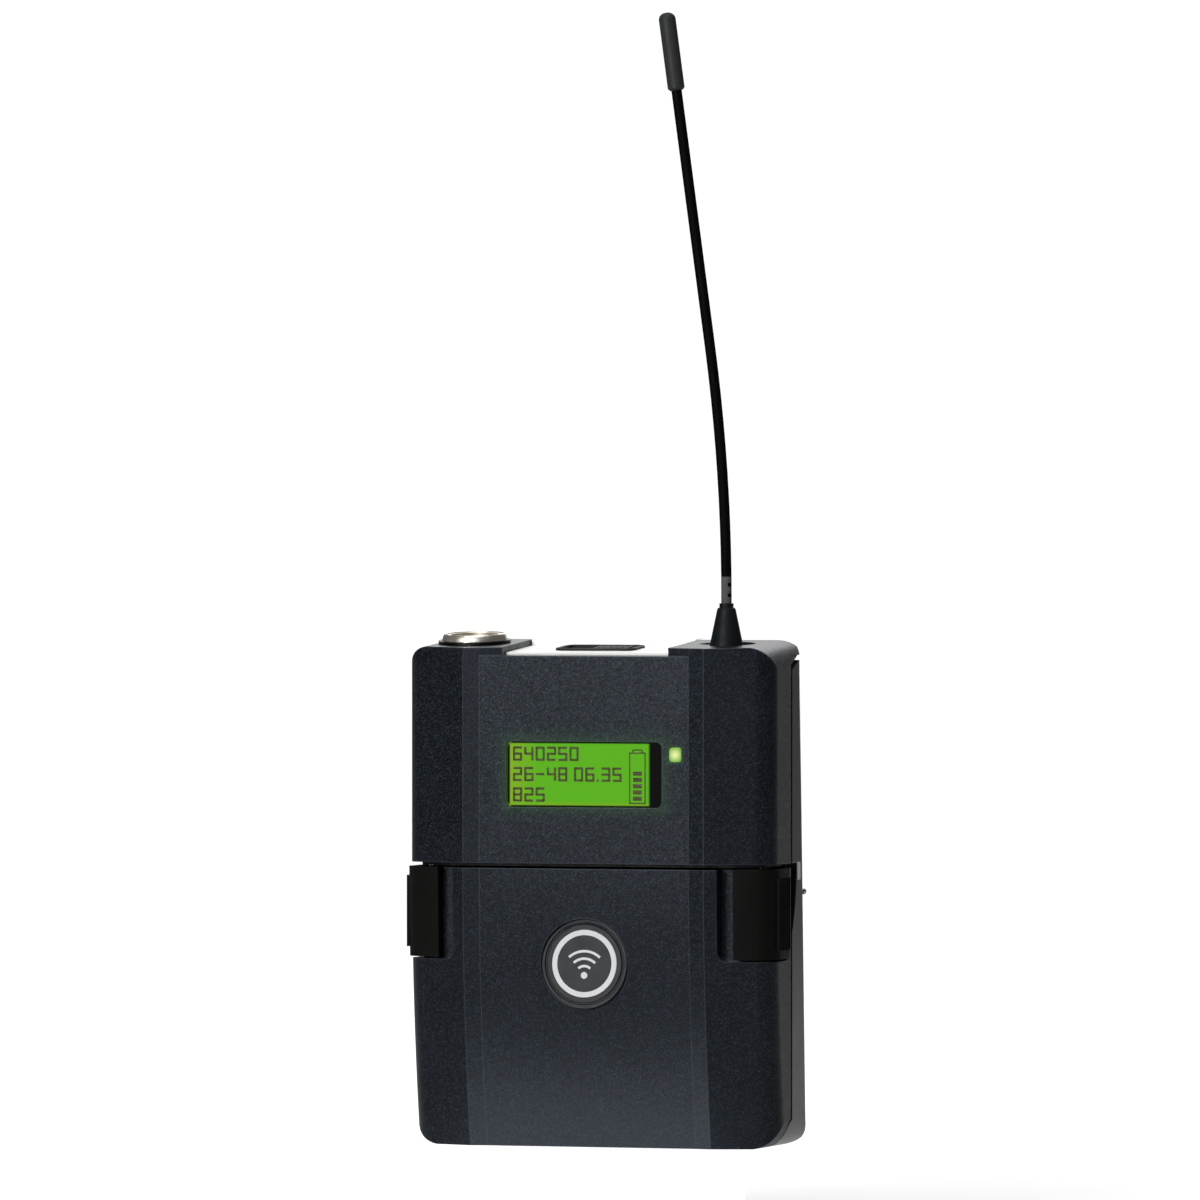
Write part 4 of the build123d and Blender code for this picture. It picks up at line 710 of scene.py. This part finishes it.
class DisplaySettings(bpy.types.PropertyGroup):
    backlight_colour: colour("Backlight", "Colour of the lit display", "#5eb41c")
    rim_colour: colour("Rim", "Colour of its brighter rim", "#86b022")
    brightness: number("Brightness", "Strength of the backlight", 1.0, min=0.0)
    dark_margin: distance("Dark margin", "Width of the unlit margin at the right", 2.7)
    figure_width: distance("Figure width", "Width of a figure", 1.2)
    figure_height: distance("Figure height", "Height of a figure", 1.95)
    figure_pitch: distance("Figure pitch", "Distance from figure to figure", 1.92)
    stroke: distance("Stroke", "Width of a bar of a figure", 0.38)
    row_pitch: distance("Row pitch", "Distance from row to row", 3.3)
    left_margin: distance("Left margin", "From the window's edge to the figures", 0.95)
    gauge_width: distance("Gauge width", "Width of the battery gauge", 2.6)
    gauge_right: distance("Gauge place", "From the window's right edge to the gauge", 3.1)
    gauge_steps: IntProperty(name="Gauge steps", description="Steps of charge left",
                             default=5, min=0, max=7)
    pipe_colour: colour("Status light", "Colour of the status light", "#6fae22")
    pipe_core_colour: colour("Status core", "Colour at the light's middle", "#eef9a6")
    pipe_brightness: number("Status brightness", "Strength of the status light", 0.86,
                            min=0.0)


class BadgeSettings(bpy.types.PropertyGroup):
    disc_thickness: distance("Disc thickness", "Thickness of the badge's disc", 0.9)
    lean: angle("Lean", "How far the badge faces downwards", 3.451)
    groove_depth: distance("Groove depth", "Depth of the groove round the disc", 0.25)
    ring_outer: distance("Ring outside", "Outer radius of the printed ring", 5.45)
    ring_inner: distance("Ring inside", "Inner radius of the printed ring", 4.6)
    ink_thickness: distance("Ink", "Thickness of the print", 0.03)


class StageSettings(bpy.types.PropertyGroup):
    azimuth: angle("Azimuth", "Camera's turn to the right", 18.0)
    elevation: angle("Elevation", "Camera's height angle", 0.56)
    camera_distance: distance("Distance", "From the camera to the pack", 2000.0)
    field: distance("Field", "Width of the picture at the pack", 194.4)
    riser: distance("Riser", "Height of the block under the pack's rear shell", 13.5)
    floor_colour: colour("Floor", "Colour of the floor", "#b8b8b8")


# --- operators ---
class DressShells(bpy.types.Operator):
    """Paint the upper housing and the battery door, and gloss the rear housing"""
    bl_idname = "transmitter.dress_shells"
    bl_label = "Shells"

    def execute(self, context):
        settings = context.scene.transmitter_shell
        dress(metallic_paint(settings), "upper_housing", "battery_door")
        dress(gloss_abs(settings), "rear_housing")
        return {"FINISHED"}


class DressLatches(bpy.types.Operator):
    """Finish the latches, their springs and the strikes"""
    bl_idname = "transmitter.dress_latches"
    bl_label = "Latches"

    def execute(self, context):
        nylon = grained_nylon("latch_nylon", "#0b0b0a", gloss=0.07)
        for side in ("left", "right"):
            latch = "latch_" + side
            cover = add_piece(latch + "_cover", softened(latch, LATCH_ROUND), nylon,
                              side + "_latch")
            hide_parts(latch)
        dress(plated_metal("spring_steel", "#8f9092", 0.28), "latch_spring_left",
              "latch_spring_right", "latch_strikes", "clip_spring")
        return {"FINISHED"}


class DressDisplay(bpy.types.Operator):
    """Light the display and its status light, and draw the display's plain figures"""
    bl_idname = "transmitter.dress_display"
    bl_label = "Display"

    def execute(self, context):
        settings = context.scene.transmitter_display
        dress(clear_acrylic(), "display_lens")
        dress(lit_display(settings), "display_module")
        dress(lit_pipe(settings), "status_light")
        low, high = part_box("display_lens")
        middle = (low.z + high.z) / 2
        bars = []
        for row, text in enumerate(DISPLAY_ROWS):
            bars += figure_bars(text, low.x + settings.left_margin,
                                middle + (1 - row) * settings.row_pitch, settings)
        bars += battery_bars(high.x - settings.gauge_right, low.z + GAUGE_FOOT * MM,
                             high.z - GAUGE_HEAD * MM, settings)
        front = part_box("display_module")[0].y
        finish = display_ink()
        seeds = seed_points("display_seeds", bars, front + FIGURES_DEEP * MM)
        mesh = plain_result("display_figures", seeds, bars_tree(),
                            {"Thickness": FIGURES_THICK * MM, "Finish": finish})
        add_piece("display_figures", mesh, finish, "root")
        return {"FINISHED"}


# the badge's front from its rim inwards, in mm: the chamfer and the groove's two slopes;
# then the wave mark's foot, dot, arcs, half width and angles, and how far its ink is sunk
RIM_CHAMFER, GROOVE_OUT, GROOVE_IN = 0.1, (0.5, 0.65), (0.85, 1.0)
WAVE_FOOT, WAVE_DOT, WAVE_ARCS, WAVE_HALF = -1.9, 0.55, (1.5, 2.7, 3.9), 0.2
WAVE_ANGLES, INK_SUNK = (48, 132), 0.02


class DressBadge(bpy.types.Operator):
    """Turn the badge's grooved disc and print a plain ring and wave mark on it"""
    bl_idname = "transmitter.dress_badge"
    bl_label = "Badge"

    def execute(self, context):
        settings = context.scene.transmitter_badge
        low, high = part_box("badge_disc")
        radius = (high.x - low.x) / 2
        # drawn upright round the origin, then leaned with the door's curved front
        lean = Matrix.Rotation(-settings.lean, 4, "X")
        seat = Matrix.Translation((low + high) / 2) @ lean
        front, back = -settings.disc_thickness / 2, settings.disc_thickness / 2
        sink = front + settings.groove_depth
        groove = [*zip(GROOVE_OUT, (front, sink)), *zip(GROOVE_IN, (sink, front))]
        profile = [
            (0, back), (radius, back), (radius, front + RIM_CHAMFER * MM),
            (radius - RIM_CHAMFER * MM, front),
            *((radius - inwards * MM, depth) for inwards, depth in groove), (0, front),
        ]
        disc = turned("badge_disc_face", profile, (0, 0, 0), axis="Y")
        disc.transform(seat)
        finish = grained_nylon("badge_satin", "#14161a", 0.25, 0.006, 0.38, 0.5, 0.3)
        piece = add_piece("badge_disc_face", disc, finish, "door")
        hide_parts("badge_disc")
        shape = bmesh.new()
        ink = (front - settings.ink_thickness, front + INK_SUNK * MM)
        printed_arc(shape, Vector(), settings.ring_inner, settings.ring_outer, 0, 360, *ink,
                    steps=128)
        foot = Vector((0, 0, WAVE_FOOT * MM))
        printed_arc(shape, foot, 0.01 * MM, WAVE_DOT * MM, 0, 360, *ink)
        for reach in WAVE_ARCS:
            printed_arc(shape, foot, (reach - WAVE_HALF) * MM, (reach + WAVE_HALF) * MM,
                        *WAVE_ANGLES, *ink, steps=160)
        mark = as_mesh("badge_print", shape)
        mark.transform(seat)
        add_piece("badge_print", mark, print_ink(), "door")
        return {"FINISHED"}


# on the leaning top, in mm from the lean line: how deep the insert lies, the recess's back
# wall and how far the pale upstand reaches over it, and the upstand's thickness
INSERT_SUNK, UPSTAND_FRONT, UPSTAND_BACK, UPSTAND_THICK = -0.95, 16.3, 20.4, 0.18
# the upstand's top: its underside, its edges' foot and its height, and its edges' width
UPSTAND_RISE, UPSTAND_EDGE = (0.01, 0.03, 0.06), 0.04
# the switch's slot, and its frame as (outset, height over the insert)
SLOT_CENTRE, SLOT_HALF, SLOT_CORNER = (-0.3, 10.2), (6.15, 3.2), 1.0
SLOT_PROFILE = ((-0.08, -1.45), (-0.08, 0.3), (0.05, 0.4), (0.5, 0.4), (0.65, 0.25),
                (0.65, 0.01), (-0.02, 0.01), (-0.02, -1.45))
# the ring nut's section as (radius, height) from its middle, in mm
NUT_PROFILE = ((4.62, -0.55), (5.3, -0.55), (5.3, -0.4), (5.2, -0.05), (5.06, 0.28),
               (4.94, 0.47), (4.82, 0.53), (4.7, 0.5), (4.62, 0.35))


class DressTop(bpy.types.Operator):
    """Finish the top: the pale insert, the power switch and the input socket"""
    bl_idname = "transmitter.dress_top"
    bl_label = "Top"

    def execute(self, context):
        pale = pale_acrylic()
        dress(pale, "top_insert")
        # the insert's upturned back edge, which closes the recess behind it
        low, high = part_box("top_insert")
        front, back, inner = UPSTAND_FRONT, UPSTAND_BACK, UPSTAND_FRONT + UPSTAND_THICK
        under, foot, rise = UPSTAND_RISE
        profile = [(front, INSERT_SUNK), (front, foot), (front + UPSTAND_EDGE, rise),
                   (back - UPSTAND_EDGE, rise), (back, foot), (back, under),
                   (inner, under), (inner, INSERT_SUNK)]
        upstand = drawn_along("insert_upstand", profile, low.x / MM, high.x / MM)
        add_piece("insert_upstand", upstand, pale, "root")
        black = grained_nylon("switch_nylon", "#191a1a", 0.3, 0.01, gloss=0.3)
        dress(black, "power_slider", "power_switch", "socket_insulator")
        # the raised frame round the switch's slot, which lines the slot's walls as well
        profile = [(out, INSERT_SUNK + rise) for out, rise in SLOT_PROFILE]
        frame_mesh = framed("switch_frame", SLOT_CENTRE, *SLOT_HALF, SLOT_CORNER, profile)
        add_piece("switch_frame", frame_mesh, black, "root")
        nickel = plated_metal("nickel_plate", "#e8e2d6", 0.36)
        dress(nickel, "socket_shell", "contact_springs", "contact_plates",
              "charging_contact_left", "charging_contact_right")
        # the socket's ring nut, turned with a rolled top edge
        low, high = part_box("socket_nut")
        nut = turned("socket_ring_nut", NUT_PROFILE, (0, 0, 0))
        nut.transform(Matrix.Translation((low + high) / 2)
                      @ Matrix.Rotation(TOP_LEAN, 4, "X") @ Matrix.Scale(MM, 4))
        piece = add_piece("socket_ring_nut", nut, nickel, "root")
        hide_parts("socket_nut")
        dress(plated_metal("black_zinc", "#2a2a2b", 0.35), "socket_flange", "housing_screws")
        dress(plated_metal("gold_plate", "#d9b25a", 0.16), "socket_pins")
        return {"FINISHED"}


# the antenna's boot above its seat: radius and depth below its top, in mm
BOOT_PROFILE = ((2.78, 6.4), (1.52, 0.35), (1.42, 0.1), (1.27, 0.0))
BOOT_SEAT = 6.7


class DressAntenna(bpy.types.Operator):
    """Finish the whip antenna, its boot and its cap"""
    bl_idname = "transmitter.dress_antenna"
    bl_label = "Antenna"

    def execute(self, context):
        dress(marked_whip(), "antenna_whip")
        rubber = soft_rubber("boot_rubber", "#101416", 0.12)
        dress(rubber, "antenna_collar")
        low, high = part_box("antenna_boot")
        middle = (low + high) / 2
        wide = (high.x - low.x) / 2
        top = (high.z - low.z) / 2
        cone = [(radius * MM, top - down * MM) for radius, down in BOOT_PROFILE]
        profile = [(0, -top), (wide, -top), (wide, top - BOOT_SEAT * MM), *cone, (0, top)]
        boot = turned("antenna_boot_cone", profile, middle)
        piece = add_piece("antenna_boot_cone", boot, rubber, "root")
        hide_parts("antenna_boot")
        dress(soft_rubber("cap_rubber", "#2a2c2d", 0.15), "antenna_cap")
        return {"FINISHED"}


class DressBack(bpy.types.Operator):
    """Finish the belt clip and the pins"""
    bl_idname = "transmitter.dress_back"
    bl_label = "Back"

    def execute(self, context):
        dress(grained_nylon("clip_nylon", "#131314", 0.4, 0.012, 0.32, 0.44), "belt_clip")
        dress(plated_metal("bright_steel", "#a9aaab", 0.2), "clip_pin", "hinge_pin")
        return {"FINISHED"}


class DressInside(bpy.types.Operator):
    """Finish the battery bay, the cells and the board"""
    bl_idname = "transmitter.dress_inside"
    bl_label = "Inside"

    def execute(self, context):
        dress(cell_sleeve(), "cell_lower", "cell_upper")
        dress(grained_nylon("bay_abs", "#0d0d0d", 0.5, 0.01), "bay_roof", "cell_cradle")
        dress(solder_mask(), "main_board")
        dress(plated_metal("tin_plate", "#b4b4b2", 0.3), "shield_can")
        return {"FINISHED"}


class SetStage(bpy.types.Operator):
    """Make the floor, the soft studio light and the camera"""
    bl_idname = "transmitter.set_stage"
    bl_label = "Stage"

    def execute(self, context):
        settings = context.scene.transmitter_stage
        add_floor(settings)
        add_sky()
        add_lamps()
        add_camera(settings)
        context.scene.view_settings.view_transform = "Standard"
        return {"FINISHED"}


# the paper's glow grows between these distances from the pack, in metres
NEAR_PAPER, FAR_PAPER = 0.06, 0.4


def seen_share(tree, place, to_gloss, near):
    """The glow a ray sees: a gloss or a glass sees one share of white, the camera another.

    The camera's share grows from its near value to the whole away from the pack, so the
    pack's shadow stays on the paper near it and the far paper is evenly white.
    """
    path = add_node(tree, "ShaderNodeLightPath").outputs
    gloss = maths(tree, "ADD", path["Is Glossy Ray"], path["Is Transmission Ray"],
                  use_clamp=True)
    away = vector_maths(tree, "LENGTH", place, output="Value")
    to_camera = ramp(tree, away, NEAR_PAPER, FAR_PAPER, near, 1.0)
    return maths(tree, "MAXIMUM", maths(tree, "MULTIPLY", gloss, to_gloss),
                 maths(tree, "MULTIPLY", path["Is Camera Ray"], to_camera))


def glowing_paper(name, paper_colour, to_gloss, near=0.6):
    """Pale paper that the camera sees as white, and a gloss sees by its own share."""
    finish, tree, place = start_finish(name)
    share = seen_share(tree, place, to_gloss, near)
    paper = add_node(tree, "ShaderNodeBsdfDiffuse", {"Color": paper_colour})
    glow = add_node(tree, "ShaderNodeEmission", {"Color": (1, 1, 1, 1), "Strength": share})
    both = add_node(tree, "ShaderNodeAddShader",
                    {0: paper.outputs[0], 1: glow.outputs[0]})
    add_node(tree, "ShaderNodeOutputMaterial", {"Surface": both.outputs[0]})
    return finish


def add_sheet(name, corners, finish, faces=((0, 1, 2, 3),)):
    """A stage piece of flat faces, or of one face between its four corners."""
    mesh = bpy.data.meshes.new(name)
    mesh.from_pydata(corners, [], faces)
    mesh.materials.append(finish)
    new_object(name, mesh)


# in metres: the floor's reach, and the wall's sides, place and height
FLOOR_REACH, WALL_SIDES, WALL_BACK, WALL_HIGH = 8.0, (-2.2, 0.7), 3.6, 3.0
# the bounce card's near and far edges from side to side, its rise over the floor, and how
# far it reaches under the pack's front and out from it
CARD_NEAR, CARD_FAR, CARD_RISE = (-0.04, 0.03), (-0.07, 0.02), 0.0002
CARD_IN, CARD_OUT = 0.002, 0.07
# the riser's front and back, half its width, and its clearance under the pack
RISER_DEPTH, RISER_HALF, RISER_GAP = (0.0015, 0.0085), 0.02, 0.00001
# what a gloss sees of each paper, as a share of white
FLOOR_GLOSS, WALL_GLOSS, CARD_GLOSS = 0.15, 1.0, 3.6


def add_floor(settings):
    """The floor, the lit wall far behind, the bounce card and the riser under the pack.

    The riser carries the pack by its rear shell, so the door can open over the floor.
    """
    foot = CAD_BOX[0][2]
    low = foot - settings.riser
    paper = settings.floor_colour
    add_sheet("floor", [(x * FLOOR_REACH, y * FLOOR_REACH, low)
                        for x, y in ((-1, -1), (1, -1), (1, 1), (-1, 1))],
              glowing_paper("paper_floor", paper, FLOOR_GLOSS))
    left, right = WALL_SIDES
    add_sheet("back_wall", [(left, WALL_BACK, low), (right, WALL_BACK, low),
                            (right, WALL_BACK, WALL_HIGH), (left, WALL_BACK, WALL_HIGH)],
              glowing_paper("paper_wall", paper, WALL_GLOSS))
    card, front = low + CARD_RISE, CAD_BOX[0][1]
    near, far = front + CARD_IN, front - CARD_OUT
    add_sheet("bounce_card", [(CARD_FAR[0], far, card), (CARD_FAR[1], far, card),
                              (CARD_NEAR[1], near, card), (CARD_NEAR[0], near, card)],
              glowing_paper("bounce_card", paper, CARD_GLOSS))
    rim = [(x * RISER_HALF, RISER_DEPTH[y]) for x, y in ((-1, 0), (1, 0), (1, 1), (-1, 1))]
    sides = [(i, (i + 1) % 4, (i + 1) % 4 + 4, i + 4) for i in range(4)]
    add_sheet("riser", [(x, y, z) for z in (low, foot - RISER_GAP) for x, y in rim],
              glowing_paper("paper_riser", paper, FLOOR_GLOSS, 1.0), sides + [(4, 5, 6, 7)])


def add_sky():
    """A world that the camera sees as white and that lights the pack only a little."""
    world = bpy.data.worlds.new("studio")
    bpy.context.scene.world = world
    world.use_nodes = True
    tree = world.node_tree
    tree.nodes.clear()
    seen = add_node(tree, "ShaderNodeLightPath").outputs["Is Camera Ray"]
    sky = add_node(tree, "ShaderNodeBackground",
                   {"Color": (1, 1, 1, 1), "Strength": ramp(tree, seen, 0.0, 1.0, 0.08)})
    add_node(tree, "ShaderNodeOutputWorld", {"Surface": sky.outputs[0]})


# the height that the softboxes are turned to, in metres
LAMP_AIM = 0.05
# softboxes: name, azimuth, elevation, distance, width, height (m), power (W)
SOFTBOXES = (
    ("front_box", -13.0, 21.0, 0.95, 0.3, 0.5, 6.4),
    ("right_box", 14.0, 22.0, 1.1, 0.14, 0.5, 0.9),
    ("top_box", 10.0, 80.0, 0.9, 0.6, 0.5, 4.1),
    ("back_box", 190.0, 35.0, 1.2, 0.8, 0.5, 3.0),
)


def add_lamps():
    """The softboxes round the pack, each turned towards its middle."""
    middle = (Vector(CAD_BOX[0]) + Vector(CAD_BOX[1])) / 2
    middle.z = LAMP_AIM
    for name, azimuth, elevation, away, wide, high, power in SOFTBOXES:
        lamp = bpy.data.lights.new(name, "AREA")
        lamp.shape = "RECTANGLE"
        lamp.size, lamp.size_y, lamp.energy = wide, high, power
        back = outward(math.radians(azimuth), math.radians(elevation))
        new_object(name, lamp).matrix_world = looking(middle + away * back, back)


def outward(azimuth, elevation):
    """The unit vector from the pack towards a station at this azimuth and elevation."""
    return Vector((math.sin(azimuth) * math.cos(elevation),
                   -math.cos(azimuth) * math.cos(elevation), math.sin(elevation)))


def looking(place, back):
    """A matrix at place that looks along -back, with its top up."""
    return Matrix.Translation(place) @ back.to_track_quat("Z", "Y").to_matrix().to_4x4()


# what the camera looks at, in mm
CAMERA_TARGET = (-0.285, -5.5, 88.4)


def add_camera(settings):
    """The camera, far away with a long lens."""
    camera = bpy.data.cameras.new("camera")
    camera.sensor_width = 36.0
    camera.lens = camera.sensor_width * settings.camera_distance / settings.field
    camera.clip_start, camera.clip_end = 0.01, 30.0
    holder = new_object("camera", camera)
    back = outward(settings.azimuth, settings.elevation)
    holder.matrix_world = looking(Vector(CAMERA_TARGET) * MM
                                  + settings.camera_distance * back, back)
    bpy.context.scene.camera = holder


# --- panel and start ---
class TransmitterPanel(bpy.types.Panel):
    """Buttons for each group of pieces"""
    bl_idname = "VIEW3D_PT_transmitter"
    bl_label = "Transmitter"
    bl_space_type = "VIEW_3D"
    bl_region_type = "UI"
    bl_category = "Transmitter"

    def draw(self, context):
        for each in OPERATORS:
            self.layout.operator(each.bl_idname)
        for group in SETTINGS:
            box = self.layout.box()
            for name in SETTINGS[group].__annotations__:
                box.prop(getattr(context.scene, group), name)


SETTINGS = {
    "transmitter_shell": ShellSettings,
    "transmitter_display": DisplaySettings,
    "transmitter_badge": BadgeSettings,
    "transmitter_stage": StageSettings,
}
OPERATORS = (DressShells, DressLatches, DressDisplay, DressBadge, DressTop, DressAntenna,
             DressBack, DressInside, SetStage)


def register():
    for each in (*SETTINGS.values(), *OPERATORS, TransmitterPanel):
        bpy.utils.register_class(each)
    for name, group in SETTINGS.items():
        setattr(bpy.types.Scene, name, PointerProperty(type=group))


def unregister():
    for name in SETTINGS:
        delattr(bpy.types.Scene, name)
    for each in (TransmitterPanel, *reversed(OPERATORS), *reversed(SETTINGS.values())):
        bpy.utils.unregister_class(each)


def main():
    register()
    for each in OPERATORS:
        group, action = each.bl_idname.split(".")
        getattr(getattr(bpy.ops, group), action)()


if __name__ == "__main__":
    main()
